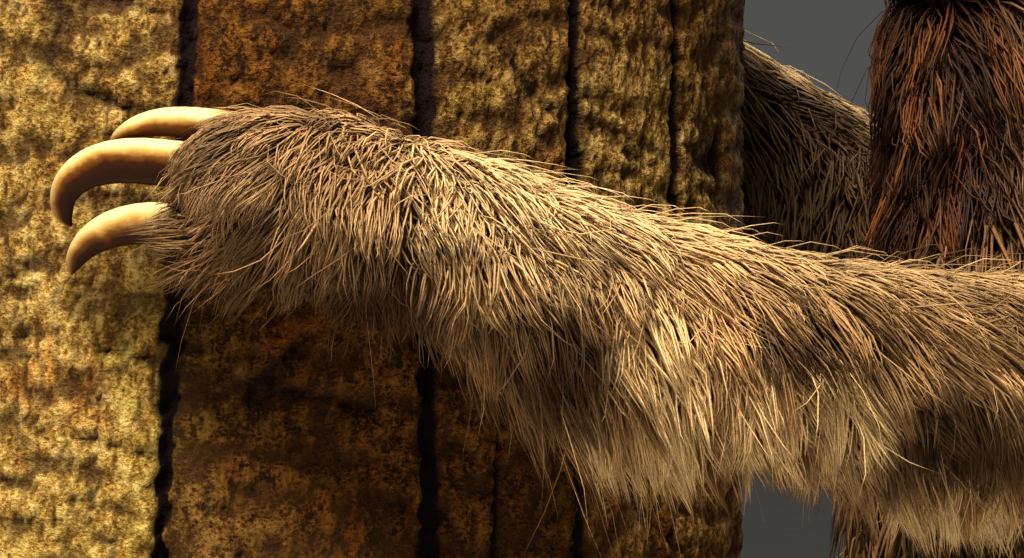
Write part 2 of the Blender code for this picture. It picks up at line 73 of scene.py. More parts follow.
# %% Place the camera
VIEW_CENTRE = Vector((0.0966, -0.200, 0.639))
VIEW_DISTANCE = 2.20
VIEW_WIDTH = 0.3277
SENSOR = 36.0

camera_data = bpy.data.cameras.new("camera")
camera_data.sensor_width = SENSOR
camera_data.lens = SENSOR * VIEW_DISTANCE / VIEW_WIDTH
camera = bpy.data.objects.new("camera", camera_data)
camera.location = VIEW_CENTRE - Vector((0, VIEW_DISTANCE, 0))
camera.rotation_euler = (math.pi / 2, 0, 0)
bpy.context.scene.collection.objects.link(camera)
bpy.context.scene.camera = camera
print("lens", round(camera_data.lens, 1), "mm")

# %% [markdown]
# ## Helpers for meshes
#
# Each new surface is worked out with numpy: whole arrays of points go into a mesh at once.
# A grid of points has a face between each four neighbours, and its ends close in a fan.
# Smooth steps, bells and ripples are the formulas that most shapes here are built from.

# %% Put points into a mesh
def outward(points, face_sets):
    """The faces in the order that makes them point outwards.

    The sum of the tetrahedra from the origin to each face is the volume. It is below zero
    where the faces are inside out."""
    volume = 0.0
    for faces in face_sets:
        corners = points[faces]
        for last in range(2, faces.shape[1]):
            a, b, c = corners[:, 0], corners[:, last - 1], corners[:, last]
            volume += (a * np.cross(b, c)).sum()
    return face_sets if volume > 0 else [faces[:, ::-1] for faces in face_sets]


def put_mesh(name, points, face_sets, finish, attributes=None, patches=None):
    """A mesh object from an array of points and arrays of faces with 3 or 4 corners each.

    attributes maps a name to one number or one colour for each point. patches is each
    point's place on the map for baking."""
    mesh = bpy.data.meshes.new(name)
    face_sets = outward(points, face_sets)
    mesh.vertices.add(len(points))
    mesh.vertices.foreach_set("co", np.asarray(points, np.float32).ravel())
    corners = np.concatenate([faces.ravel() for faces in face_sets]).astype(np.int32)
    sizes = np.concatenate([np.full(len(faces), faces.shape[1]) for faces in face_sets])
    starts = np.concatenate([[0], np.cumsum(sizes)[:-1]]).astype(np.int32)
    mesh.loops.add(len(corners))
    mesh.loops.foreach_set("vertex_index", corners)
    mesh.polygons.add(len(sizes))
    mesh.polygons.foreach_set("loop_start", starts)
    mesh.update(calc_edges=True)
    for key, values in (attributes or {}).items():
        values = np.asarray(values, np.float32)
        if values.ndim == 1:
            layer = mesh.attributes.new(key, "FLOAT", "POINT")
            layer.data.foreach_set("value", values)
        else:
            layer = mesh.attributes.new(key, "FLOAT_COLOR", "POINT")
            solid = np.ones((len(values), 4), np.float32)
            solid[:, :3] = values
            layer.data.foreach_set("color", solid.ravel())
    if patches is not None:
        layer = mesh.uv_layers.new(name="OFBake")
        layer.data.foreach_set("uv", patches[corners].astype(np.float32).ravel())
    mesh.polygons.foreach_set("use_smooth", np.ones(len(sizes), bool))
    piece = bpy.data.objects.new(name, mesh)
    bpy.context.scene.collection.objects.link(piece)
    if finish:
        mesh.materials.append(finish)
    return piece


# %% Faces of a grid
def grid_faces(rows, columns, first=0):
    """Four-cornered faces of a grid whose columns run round and meet."""
    row, column = np.meshgrid(np.arange(rows - 1), np.arange(columns), indexing="ij")
    after = (column + 1) % columns
    low, high = first + row * columns, first + (row + 1) * columns
    quads = np.stack([low + column, low + after, high + after, high + column], -1)
    return quads.reshape(-1, 4)


def closed_grid(grid):
    """Points and faces of a grid of rings, closed by a fan at each end."""
    rows, columns = grid.shape[:2]
    points = np.concatenate([grid.reshape(-1, 3), grid[:1].mean(1), grid[-1:].mean(1)])
    ring = np.arange(columns)
    after = (ring + 1) % columns
    last = (rows - 1) * columns
    start_fan = np.stack([np.full(columns, rows * columns), after, ring], -1)
    end_fan = np.stack([np.full(columns, rows * columns + 1), last + ring, last + after], -1)
    return points, [grid_faces(rows, columns), np.concatenate([start_fan, end_fan])]


# %% Steps, bells and ripples
def smooth_step(value, low, high):
    """0 below low, 1 above high, and an S-shaped rise between them."""
    share = np.clip((value - low) / (high - low), 0, 1)
    return share * share * (3 - 2 * share)


def bell(value, middle, width):
    """1 at the middle, falling to both sides as the normal curve does."""
    return np.exp(-(((value - middle) / width) ** 2))


def unit(vectors):
    """Each row scaled to length 1."""
    return vectors / np.maximum(np.linalg.norm(vectors, axis=-1, keepdims=True), 1e-9)


RIPPLE_SINES = 9
RIPPLE_HEIGHT = 2.2  # times the mean of the sines, so that most of it fills -1 to 1


def ripple(points, size, seed):
    """A smooth wavy number over space, mostly from -1 to 1, with waves about one size across.

    It is the mean of sines that run in random directions."""
    chance = np.random.default_rng(seed)
    ways = unit(chance.normal(size=(RIPPLE_SINES, 3))) * (2 * np.pi / size)
    ways = ways * chance.uniform(0.6, 1.5, (RIPPLE_SINES, 1))
    phases = chance.uniform(0, 2 * np.pi, RIPPLE_SINES)
    return np.sin(points @ ways.T + phases).mean(-1) * RIPPLE_HEIGHT


heights = ripple(np.random.default_rng(1).random((2000, 3)), 0.1, 1)
print("a ripple runs from", round(heights.min(), 2), "to", round(heights.max(), 2))

# %% [markdown]
# ## Helpers for finishes
#
# A finish is a Principled material. Its colour and bump come from nodes that read the place
# on the object, or a number stored with the mesh. What is the same all over a finish, such as
# its roughness, is set on the shader itself.

# %% Make a finish
def new_finish(name, **sockets):
    """A Principled material. Each keyword is a socket's name with _ for a space."""
    made = bpy.data.materials.new(name)
    made.use_nodes = True
    shader = made.node_tree.nodes["Principled BSDF"]
    for key, value in sockets.items():
        shader.inputs[key.replace("_", " ")].default_value = value
    return made


def add(finish, kind, inputs=None, **settings):
    """A node in a finish, with its settings, and inputs that are values or other sockets."""
    node = finish.node_tree.nodes.new("ShaderNode" + kind)
    for key, value in settings.items():
        setattr(node, key, value)
    for key, value in (inputs or {}).items():
        if isinstance(value, bpy.types.NodeSocket):
            finish.node_tree.links.new(value, node.inputs[key])
        else:
            node.inputs[key].default_value = value
    return node


def join(finish, socket, name):
    """Links a socket to the finish's shader."""
    shader = finish.node_tree.nodes["Principled BSDF"]
    finish.node_tree.links.new(socket, shader.inputs[name])


# %% Patterns for a finish
def place(finish, scale=(1, 1, 1), turn=(0, 0, 0)):
    """Object coordinates, stretched and turned."""
    where = add(finish, "TexCoord").outputs["Object"]
    moved = {"Vector": where, "Scale": scale, "Rotation": turn}
    return add(finish, "Mapping", moved).outputs["Vector"]


def noise(finish, vector, scale, detail=4.0, roughness=0.55):
    """A noise number from 0 to 1, with waves of about 1 / scale metres."""
    inputs = {"Vector": vector, "Scale": scale, "Detail": detail, "Roughness": roughness}
    return add(finish, "TexNoise", inputs).outputs["Fac"]


def stored(finish, name, kind="Fac"):
    """A number or colour stored with the mesh."""
    return add(finish, "Attribute", attribute_name=name).outputs[kind]


def ramp(finish, number, stops):
    """A colour for a number, from (place, colour) stops."""
    node = add(finish, "ValToRGB", {"Fac": number})
    elements = node.color_ramp.elements
    while len(elements) < len(stops):
        elements.new(0.5)
    for element, (where, colour) in zip(elements, stops):
        element.position = where
        element.color = (*colour, 1) if len(colour) == 3 else colour
    return node.outputs["Color"]


# %% Mixes for a finish
def span(finish, number, low, high, to_low=0.0, to_high=1.0):
    """A number moved from one range to another, and held inside it."""
    inputs = {"Value": number, "From Min": low, "From Max": high}
    inputs.update({"To Min": to_low, "To Max": to_high})
    return add(finish, "MapRange", inputs).outputs["Result"]


def mixed(finish, share, one, other, way="MIX"):
    """One colour mixed with another by a share."""
    node = add(finish, "Mix", data_type="RGBA", blend_type=way)
    for index, value in ((0, share), (6, one), (7, other)):
        if isinstance(value, bpy.types.NodeSocket):
            finish.node_tree.links.new(value, node.inputs[index])
        else:
            node.inputs[index].default_value = value if index == 0 else (*value, 1)
    return node.outputs[2]


def maths(finish, way, one, other=0.0):
    """One number from two."""
    return add(finish, "Math", {0: one, 1: other}, operation=way).outputs[0]


def blended(finish, one, share, other):
    """A share of one number and the rest of another."""
    part = maths(finish, "MULTIPLY", one, share)
    rest = maths(finish, "MULTIPLY", other, 1 - share)
    return maths(finish, "ADD", part, rest)


def bump(finish, height, strength, distance, under=None):
    """Small relief from a number. It can add to another bump."""
    inputs = {"Height": height, "Strength": strength, "Distance": distance}
    if under:
        inputs["Normal"] = under
    return add(finish, "Bump", inputs).outputs["Normal"]


# %% [markdown]
# ## The trunk
#
# The bark is dry and ochre, with long dark fissures that run upright and a fine blotchy
# grain between them. The solid is a fluted cylinder with only the deep fissures cut in it, so
# the bark is a finer grid round it: a ring of points at each height, with every point moved
# inwards by the relief. Cracks, crumbs and flakes are in the mesh too, so they cast real
# shadows.

# %% Shape the fissures
TRUNK_LOW, TRUNK_HIGH = (corner.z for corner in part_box("perch_log"))
TRUNK_RADIUS = 0.180
FRONT = -math.pi / 2  # the angle that faces the camera
# The fissures stand at these angles from the front, in degrees, and sway by these widths to
# either side, as in the solid. The thin hairlines between them are the bark's own.
FISSURES = (-4.2, 23.0, 43.5, 60.6, 87.0, 122.0, 149.0, 187.0, 209.0, 248.0, 279.0, 301.0, 333.0)
SWAYS = (0.0070, 0.0022, 0.0022, 0.0022) + (0.0080,) * 9
HAIRLINES = (9.5, 33.0, 47.4, 74.0, 104.0, 136.0, 165.0, 176.0, 198.0, 228.0, 266.0, 312.0, 322.0)


def trunk_swell(angle, height):
    """The broad flutes of the trunk, from 0 inwards, as in the solid."""
    flutes = 0.0022 * np.cos(3 * angle + 0.6) + 0.0014 * np.cos(5 * angle - 1.1)
    return flutes + 0.0012 * np.sin(2 * angle + 9.0 * height) - 0.0036


def crease(points, size, seed):
    """1 along the lines where a wave crosses zero and falling fast to 0 beside them."""
    return (1 - np.minimum(np.abs(ripple(points, size, seed)) * 1.6, 1)) ** 3


def fissure_sway(number, height):
    """How far a fissure's middle strays to the right at a height, as in the solid.

    It is a slow sine over the height, and each fissure has a phase of its own."""
    return SWAYS[number] * np.sin(9.0 * height + 0.52 + 2.1 * number)


def groove_at(angle, degrees, sway, half_width, ragged):
    """1 on the floor of a groove and 0 past its lips.

    The distance from the middle is bent by small waves, so that the lips are ragged."""
    middle = FRONT + math.radians(degrees)
    away = (angle - middle + np.pi) % (2 * np.pi) - np.pi
    away = TRUNK_RADIUS * away - sway
    return np.exp(-np.abs((away + ragged) / half_width) ** 3)


print("fissures:", len(FISSURES), "hairlines:", len(HAIRLINES))

# %% Shape the bark
HAIRLINE_DEPTH, HAIRLINE_HALF_WIDTH, HAIRLINE_SWAY = 0.0036, 0.0012, 0.006
CRACK_DEPTH = 0.0026  # of the short cracks that run across
FLAKE_DEPTH = 0.0011
UNEVEN_DEPTH = 0.0008  # of the broad hollows under all the rest
# Creases part the bark into crumbs: depth, size, seed, and the scale that the height is read
# at. A scale of 0.5 draws the crumbs out to twice as tall.
CRUMBS = ((0.0011, 0.013, 3, 0.5), (0.0011, 0.0075, 4, 0.5), (0.0009, 0.0046, 5, 1.0))


def bark_relief(angle, height):
    """How deep the bark lies under the trunk's outer form, and how deep its cracks alone are.

    Deep fissures and thin hairlines run upright, and short cracks run across. Between them
    creases of three sizes part the bark into crumbs, and thin flakes have come off it."""
    spot = np.stack([TRUNK_RADIUS * angle, np.zeros_like(angle), height], -1)
    ragged = 0.0012 * ripple(spot, 0.010, 6) + 0.0009 * ripple(spot, 0.0045, 7)
    groove = np.zeros_like(angle)
    for number, degrees in enumerate(FISSURES):
        wide = 0.0027 + 0.0013 * np.sin(23 * height + degrees) * np.sin(9 * height + number)
        deep = 0.0080 - 0.0022 * np.abs(np.sin(12 * height + 2 * number))
        sway = fissure_sway(number, height)
        groove = np.maximum(groove, deep * groove_at(angle, degrees, sway, wide, ragged))
    for degrees in HAIRLINES:
        deep = HAIRLINE_DEPTH * smooth_step(np.sin(13 * height + degrees), -0.1, 0.5)
        sway = HAIRLINE_SWAY * np.sin(7 * height + degrees)
        line = groove_at(angle, degrees, sway, HAIRLINE_HALF_WIDTH, ragged)
        groove = np.maximum(groove, deep * line)
    # Short cracks run across the bark: lines where a wave that is stretched sideways is 0.
    across = crease(spot * (0.30, 1.0, 1.0), 0.034, 12) ** 2
    broken = smooth_step(ripple(spot, 0.060, 13), 0.05, 0.45)
    groove = np.maximum(groove, CRACK_DEPTH * across * broken)
    crumbs = 0
    for deep, size, seed, upright in CRUMBS:
        crumbs = crumbs + deep * crease(spot * (1.0, 1.0, upright), size, seed)
    crumbs = crumbs + UNEVEN_DEPTH * (1 - ripple(spot * (1.0, 1.0, 0.5), 0.030, 8)) / 2
    flakes = FLAKE_DEPTH * smooth_step(ripple(spot * (1.0, 1.0, 1.8), 0.018, 9), 0.20, 0.34)
    return groove + crumbs + flakes, groove


front_relief = bark_relief(np.full(400, FRONT), np.linspace(TRUNK_LOW, TRUNK_HIGH, 400))[0]
print("relief down the front:", round(1000 * np.ptp(front_relief), 1), "mm")

# %% Age the bark
# How aged and dark the bark is to the right of each fissure: partly the bark's own age and
# partly painted shade, darker where less light falls. The stretches differ in full at the
# height of the arms, and less above and below.
PANEL_AGES_AND_SHADE = (1.0, 0.75, 0.52, 0.60, 0.80, 0.35, 0.65, 0.30, 0.75, 0.45, 0.60, 0.25, 0.12)
ARM_HEIGHT, ARM_REACH = 0.64, 0.15
FAR_CONTRAST = 0.40
AGE_WAVE, AGE_WAVE_SIZE, AGE_WAVE_SEED = 0.29, 1.1, 2927  # size in trunk radii
LAST_STRETCH = 17  # degrees before the front, a place inside the last stretch


def panel_age_and_shade(angle, height):
    """0 on fresh bark and 1 on the darkest, which changes at each fissure and with height. The
    darkness is partly the bark's own age and partly painted shade.

    Going round from a place inside the last stretch, each fissure that is passed moves the
    number on to that of the next stretch. A broad wave over the trunk is taken off it."""
    turn = (np.degrees(angle - FRONT) + LAST_STRETCH) % 360 - LAST_STRETCH
    age = np.full_like(turn, PANEL_AGES_AND_SHADE[-1])
    for number, degrees in enumerate(FISSURES):
        middle = degrees + np.degrees(fissure_sway(number, height) / TRUNK_RADIUS)
        change = PANEL_AGES_AND_SHADE[number] - PANEL_AGES_AND_SHADE[number - 1]
        age = age + change * smooth_step(turn - middle, -0.4, 0.4)
    mean = np.mean(PANEL_AGES_AND_SHADE)
    near_arms = np.exp(-(((height - ARM_HEIGHT) / ARM_REACH) ** 4))
    age = mean + (age - mean) * (FAR_CONTRAST + (1 - FAR_CONTRAST) * near_arms)
    spot = np.stack([np.cos(angle), np.sin(angle), height / TRUNK_RADIUS], -1)
    return age - AGE_WAVE * ripple(spot, AGE_WAVE_SIZE, AGE_WAVE_SEED)


print("age in front:", round(float(panel_age_and_shade(np.array([FRONT]), np.array([ARM_HEIGHT]))[0]), 2))

# %% Build the trunk
# The grid is fine between these degrees from the front and these heights, where the view is
# close. Each pair of steps is the fine one and the coarse one.
FINE_ROUND, FINE_HEIGHTS = (-28, 72), (0.530, 0.750)
STEPS_ROUND, STEPS_UP = (0.0014, 0.0052), (0.0022, 0.0055)
RIM = 0.004  # how far the sawn edges are rounded
END_RINGS = (0.985, 0.80, 0.55, 0.30, 0.10)  # rings of the sawn ends, as shares of the radius
# The painted shade in grooves and hollows is full at these depths.
DARK_GROOVE, DARK_HOLLOW = 0.006, 0.0028  # depths at which a groove or hollow is darkest


def graded(low, high, fine_low, fine_high, fine_step, coarse_step):
    """Numbers from low to high, close together between fine_low and fine_high."""
    before = np.linspace(low, fine_low, max(2, round((fine_low - low) / coarse_step)) + 1)
    inside = np.linspace(fine_low, fine_high, round((fine_high - fine_low) / fine_step) + 1)
    after = np.linspace(fine_high, high, max(2, round((high - fine_high) / coarse_step)) + 1)
    return np.concatenate([before[:-1], inside, after[1:]])


def build_trunk():
    """The bark as one closed grid: its rows turn in at the top and bottom to sawn ends.

    Each point has four stored numbers: sawn or not, how deep in a fissure, how deep in a
    crease, and how aged and shaded."""
    angles = graded(
        FRONT - math.pi,
        FRONT + math.pi,
        *(FRONT + math.radians(degrees) for degrees in FINE_ROUND),
        *(step / TRUNK_RADIUS for step in STEPS_ROUND),
    )[:-1]
    heights = graded(TRUNK_LOW, TRUNK_HIGH, *FINE_HEIGHTS, *STEPS_UP)
    height, angle = np.meshgrid(heights, angles, indexing="ij")
    depth, groove = bark_relief(angle, height)
    rim = RIM * np.exp(-np.minimum(height - TRUNK_LOW, TRUNK_HIGH - height) / RIM)
    radius = TRUNK_RADIUS + trunk_swell(angle, height) - depth - rim
    side = np.stack([radius * np.cos(angle), radius * np.sin(angle), height], -1)
    squeeze = np.array([1, 1, 0.0])
    lift = np.array([0, 0, 1.0])
    bottom = [side[0] * squeeze * share + lift * TRUNK_LOW for share in reversed(END_RINGS)]
    top = [side[-1] * squeeze * share + lift * TRUNK_HIGH for share in END_RINGS]
    rows = np.concatenate([np.array(bottom), side, np.array(top)])

    def with_ends(inside, at_ends):
        """A number for each point: its own on the side, and one for both sawn ends."""
        values = np.full(rows.shape[:2], float(at_ends))
        values[len(END_RINGS) : -len(END_RINGS)] = inside
        return np.append(values.ravel(), [at_ends, at_ends])

    numbers = {
        "sawn": with_ends(0, 1),
        "fissure": with_ends(np.clip(groove / DARK_GROOVE, 0, 1), 0),
        "hollow": with_ends(np.clip((depth - groove) / DARK_HOLLOW, 0, 1), 0),
        "old": with_ends(panel_age_and_shade(angle, height), 0),
    }
    return *closed_grid(rows), numbers


trunk_points, trunk_faces, trunk_numbers = build_trunk()
print("trunk points:", len(trunk_points))

# %% [markdown]
# The bark's colour comes in layers. Blotches and grain run from dark brown to pale ochre, and
# slow patches turn them to olive and rust. Aged bark is darker, partly from its age and partly
# from painted shade, with nearly black pits in its dark blotches. Painted shade from the
# stored relief darkens the creases and turns the fissures black. The sawn ends have rings: a
# wave over the distance from the axis.

# %% Finish the bark
bark = new_finish("bark", Roughness=0.92, Specular_IOR_Level=0.10)
bark_place = place(bark, (1, 1, 0.62))
blotch = noise(bark, bark_place, 190, 5, 0.70)
grain = noise(bark, place(bark, (1, 1, 1.3)), 640, 3, 0.7)
broad = noise(bark, place(bark, (1, 1, 0.45)), 17, 3, 0.55)
middling = noise(bark, place(bark, (1, 1, 0.6), (0.4, 0.2, 0)), 38, 3, 0.55)
speckle = blended(bark, blotch, 0.55, grain)
ochre = ramp(
    bark,
    speckle,
    [
        (0.36, (0.085, 0.034, 0.007)),
        (0.45, (0.280, 0.140, 0.024)),
        (0.53, (0.620, 0.385, 0.092)),
        (0.64, (0.960, 0.730, 0.290)),
    ],
)
olive = mixed(bark, span(bark, broad, 0.50, 0.68, 0, 0.8), ochre, (0.60, 0.66, 0.36), "MULTIPLY")
rusty = mixed(bark, span(bark, middling, 0.54, 0.72, 0, 0.9), olive, (0.74, 0.44, 0.26), "MULTIPLY")
# Painted shade mixed with age: the bark is darker where the stored number is high.
aged = mixed(bark, span(bark, stored(bark, "old"), 0, 1), rusty, (0.27, 0.155, 0.058), "MULTIPLY")
pits = maths(bark, "MULTIPLY", span(bark, speckle, 0.51, 0.42, 0, 0.9), stored(bark, "old"))
pitted = mixed(bark, pits, aged, (0.012, 0.006, 0.002))
# Painted shade: darker in the creases, and nearly black in the fissures.
crease_shade = span(bark, stored(bark, "hollow"), 0.25, 0.80, 0, 0.85)
shaded = mixed(bark, crease_shade, pitted, (0.050, 0.020, 0.005))
fissure_shade = span(bark, stored(bark, "fissure"), 0.10, 0.45)
cracked = mixed(bark, fissure_shade, shaded, (0.010, 0.004, 0.003))
print("nodes in the bark so far:", len(bark.node_tree.nodes))

# %% Finish the sawn ends and lay the bark
RING_WAVES = 1150.0  # a year's ring every 5.5 mm
flat_place = place(bark, (1, 1, 0.0))
from_axis = add(bark, "VectorMath", {0: flat_place}, operation="LENGTH").outputs["Value"]
drift = maths(bark, "MULTIPLY", noise(bark, flat_place, 9, 3), 0.022)
uneven = maths(bark, "ADD", from_axis, drift)
rings = maths(bark, "SINE", maths(bark, "MULTIPLY", uneven, RING_WAVES))
ring_colour = ramp(
    bark,
    span(bark, rings, -1, 1),
    [(0.0, (0.24, 0.145, 0.065)), (0.7, (0.32, 0.215, 0.110)), (1.0, (0.13, 0.070, 0.028))],
)
rind = mixed(bark, span(bark, from_axis, 0.160, 0.166), ring_colour, (0.13, 0.07, 0.03))
sawn_or_not = span(bark, stored(bark, "sawn"), 0.45, 0.55)
join(bark, mixed(bark, sawn_or_not, cracked, rind), "Base Color")
rough_skin = bump(bark, blotch, 0.9, 0.0045)
join(bark, bump(bark, grain, 0.9, 0.0016, rough_skin), "Normal")

trunk = put_mesh("bark_trunk", trunk_points, trunk_faces, bark, trunk_numbers)
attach(trunk, "root")
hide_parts("perch_log")
print("trunk faces", len(trunk.data.polygons))

# %% [markdown]
# ## The body's lines
#
# Each part of the body follows a smooth line through a few stations. A station is a point
# and the coat's outer radius there. The flesh has a share of that radius. The same lines
# serve three jobs: they shape the skin, comb the hair and tell how far a point is from it.

# %% Stations
STATIONS = {
    "torso": (
        ((0.262, 0.000, 0.230), 0.054),
        ((0.270, 0.000, 0.275), 0.088),
        ((0.284, 0.000, 0.355), 0.103),
        ((0.293, 0.000, 0.440), 0.106),
        ((0.297, 0.000, 0.520), 0.101),
        ((0.292, 0.000, 0.590), 0.089),
        ((0.284, 0.000, 0.640), 0.070),
    ),
    "neck": (
        ((0.286, 0.000, 0.610), 0.076),
        ((0.279, 0.000, 0.662), 0.066),
        ((0.274, 0.000, 0.705), 0.060),
        ((0.271, 0.000, 0.745), 0.055),
        ((0.269, 0.000, 0.778), 0.040),
    ),
    "tail": (
        ((0.285, 0.000, 0.245), 0.032),
        ((0.314, 0.000, 0.215), 0.029),
        ((0.331, 0.000, 0.193), 0.022),
        ((0.336, 0.000, 0.181), 0.010),
    ),
    "arm_left": (
        ((0.290, -0.046, 0.603), 0.046),
        ((0.243, -0.118, 0.606), 0.042),
        ((0.192, -0.171, 0.615), 0.038),
        ((0.125, -0.188, 0.633), 0.0345),
        ((0.066, -0.199, 0.656), 0.0325),
        ((0.030, -0.201, 0.667), 0.0315),
        ((0.010, -0.202, 0.669), 0.0255),
        ((0.003, -0.202, 0.668), 0.014),
    ),
    "arm_right": (
        ((0.290, 0.046, 0.608), 0.046),
        ((0.252, 0.118, 0.640), 0.042),
        ((0.208, 0.178, 0.676), 0.038),
        ((0.156, 0.190, 0.712), 0.0345),
        ((0.104, 0.186, 0.747), 0.0325),
        ((0.070, 0.194, 0.770), 0.0305),
        ((0.046, 0.200, 0.784), 0.0250),
        ((0.038, 0.202, 0.788), 0.014),
    ),
    "leg_left": (
        ((0.278, -0.040, 0.305), 0.060),
        ((0.252, -0.100, 0.352), 0.056),
        ((0.222, -0.148, 0.378), 0.045),
        ((0.186, -0.158, 0.335), 0.0375),
        ((0.150, -0.150, 0.292), 0.033),
        ((0.118, -0.172, 0.284), 0.030),
        ((0.092, -0.188, 0.284), 0.0245),
        ((0.084, -0.192, 0.284), 0.013),
    ),
    "leg_right": (
        ((0.278, 0.040, 0.295), 0.060),
        ((0.256, 0.100, 0.328), 0.056),
        ((0.228, 0.148, 0.340), 0.045),
        ((0.190, 0.160, 0.292), 0.0375),
        ((0.152, 0.152, 0.246), 0.033),
        ((0.120, 0.172, 0.236), 0.030),
        ((0.094, 0.188, 0.235), 0.0245),
        ((0.086, 0.192, 0.235), 0.013),
    ),
}
print("stations:", sum(len(rows) for rows in STATIONS.values()))

# %% Lines through the stations
FLESH_SHARE = {"torso": 0.76, "neck": 0.62, "tail": 0.60}
LIMB_SHARE = 0.73
PER_SPAN = 5  # points worked out between two stations


def smooth_line(stations, share):
    """A curve through the stations: points, flesh radii, coat depths and places.

    Between two stations each value is the cubic that has the stations' own slopes, where a
    slope is half the step from the station before to the one after."""
    values = np.array([(*point, radius) for point, radius in stations])
    slopes = np.gradient(values, axis=0)
    places = np.linspace(0, len(values) - 1, (len(values) - 1) * PER_SPAN + 1)
    index = np.minimum(places.astype(int), len(values) - 2)
    t = (places - index)[:, None]
    rise = t * t * (3 - 2 * t)
    curve = (
        values[index] * (1 - rise)
        + values[index + 1] * rise
        + slopes[index] * (t * (1 - t) ** 2)
        + slopes[index + 1] * (-t * t * (1 - t))
    )
    return {
        "points": curve[:, :3],
        "flesh": curve[:, 3] * share,
        "depth": curve[:, 3] * (1 - share),
        "places": places,
    }


HEAD_CENTRE = np.array((0.262, -0.010, 0.786))
HEAD_TURN, HEAD_TILT = math.radians(62), math.radians(4)
turned = Matrix.Rotation(math.pi + HEAD_TURN, 3, "Z") @ Matrix.Rotation(-HEAD_TILT, 3, "Y")
HEAD_AXES = np.array(turned)  # columns: forward, to the side, up

LINES = {
    name: smooth_line(stations, FLESH_SHARE.get(name, LIMB_SHARE))
    for name, stations in STATIONS.items()
}
NAMES = [*LINES, "head"]
print("lines:", {name: len(line["points"]) for name, line in LINES.items()})

# %% [markdown]
# How far is a point from the skin? For one line it is the distance to its nearest stretch,
# less the flesh radius there. Over all lines a soft minimum joins the answers, so that the
# surface rounds off in the armpits. The same sum gives the way straight out of the skin.

# %% Distance from the head
# The ellipsoids of the head: centre and radii, forward, to the side and up.
HEAD_BALLS = (
    ((-0.008, 0.000, 0.003), (0.0425, 0.0435, 0.0410)),
    ((-0.008, 0.000, -0.016), (0.0385, 0.0410, 0.0340)),
    ((0.0145, 0.000, -0.001), (0.0325, 0.0405, 0.0385)),
    ((0.0175, 0.000, -0.021), (0.0270, 0.0310, 0.0225)),
    ((0.0365, 0.000, -0.0150), (0.0172, 0.0210, 0.0150)),
)
HEAD_BLEND = 0.0045  # how widely they round into each other
HEAD_COAT = 0.010


def in_head(points):
    """Points in the head's own axes: forward, to the side, up."""
    return (points - HEAD_CENTRE) @ HEAD_AXES


def head_distance(points):
    """Distance outside a blend of ellipsoids, in the head's axes.

    For one ellipsoid it is k (k - 1) / g, where k is the length of the point divided by the
    radii and g that of the point divided by their squares."""
    total = 0
    for centre, radii in HEAD_BALLS:
        offset = points - np.array(centre)
        k = np.linalg.norm(offset / radii, axis=-1)
        g = np.linalg.norm(offset / np.square(radii), axis=-1)
        total = total + np.exp(-(k * (k - 1) / np.maximum(g, 1e-9)) / HEAD_BLEND)
    return -HEAD_BLEND * np.log(total)


# %% Distance from a line
def nearest_on_line(points, line):
    """For each point: distance to the flesh, way out, way along, coat depth and place."""
    start, end = line["points"][:-1], line["points"][1:]
    step = end - start
    length = np.linalg.norm(step, axis=1)
    offset = points[:, None, :] - start
    share = np.clip((offset * step).sum(-1) / length**2, 0, 1)
    away = offset - share[..., None] * step
    distance = np.linalg.norm(away, axis=-1)
    flesh = line["flesh"][:-1] + share * np.diff(line["flesh"])
    outside = distance - flesh
    best = outside.argmin(1)
    rows = np.arange(len(points))
    pick = share[rows, best]
    depth = line["depth"][best] + pick * (line["depth"][best + 1] - line["depth"][best])
    spot = line["places"][best] + pick * (line["places"][best + 1] - line["places"][best])
    along = (step / length[:, None])[best]
    return outside[rows, best], unit(away[rows, best]), along, depth, spot


def nearest_on_head(points):
    """The same answers for the head, a blend of ellipsoids with an even coat."""
    count = len(points)
    forward = np.tile(HEAD_AXES[:, 0], (count, 1))
    distance = head_distance(in_head(points))
    return distance, unit(points - HEAD_CENTRE), forward, np.full(count, HEAD_COAT), np.zeros(count)


# %% Distance from the whole body
BLEND_SIZE = 0.007  # how widely the parts' surfaces round into each other


def body_field(points):
    """Distance from the skin, way out, and of the nearest line: index, way along, depth, place."""
    found = [nearest_on_line(points, line) for line in LINES.values()]
    found.append(nearest_on_head(points))
    distance = np.stack([f[0] for f in found], 1)
    nearest = distance.argmin(1)
    weight = np.exp(-(distance - distance.min(1, keepdims=True)) / BLEND_SIZE)
    out = sum(w[:, None] * f[1] for w, f in zip(weight.T, found))
    soft = distance.min(1) - BLEND_SIZE * 0.5 * np.log(weight.sum(1))
    rows = np.arange(len(points))
    along = np.stack([f[2] for f in found], 1)[rows, nearest]
    depth = np.stack([f[3] for f in found], 1)[rows, nearest]
    spot = np.stack([f[4] for f in found], 1)[rows, nearest]
    return soft, unit(out), nearest, along, depth, spot


wrist = LINES["arm_left"]["points"][4 * PER_SPAN]
print("the left wrist lies", round(-1000 * body_field(wrist[None])[0][0], 1), "mm under the skin")

# %% [markdown]
# ## The coat's colours
#
# Skin and hair ask one function for their colour, so the markings agree. The coat is
# grey-brown, darker on the hands and feet. Light and shade are painted into it as well: a
# painted highlight makes the tops of the arms golden, and painted shade darkens the limbs
# below, the arms' sides that face the chest, patches on the left arm and the armpits. The
# left arm also has locks of long bleached hair. The front of the neck is nearly black, partly
# its own dark brown and partly painted shade, with rust streaks, and the back has a pale
# saddle with a dark line down it. The face is pale, with a dark stripe that runs out from
# each eye.

# %% Colours and patches
GREY_BROWN = np.array((0.470, 0.275, 0.112))
HAND_BROWN = np.array((0.400, 0.232, 0.098))
GOLDEN = np.array((0.900, 0.640, 0.300))
BROWN = np.array((0.150, 0.066, 0.020))
RUST = np.array((0.190, 0.062, 0.014))
DEEP_BROWN = np.array((0.028, 0.008, 0.002))
PALE = np.array((0.640, 0.500, 0.300))
STRIPE = np.array((0.032, 0.015, 0.007))
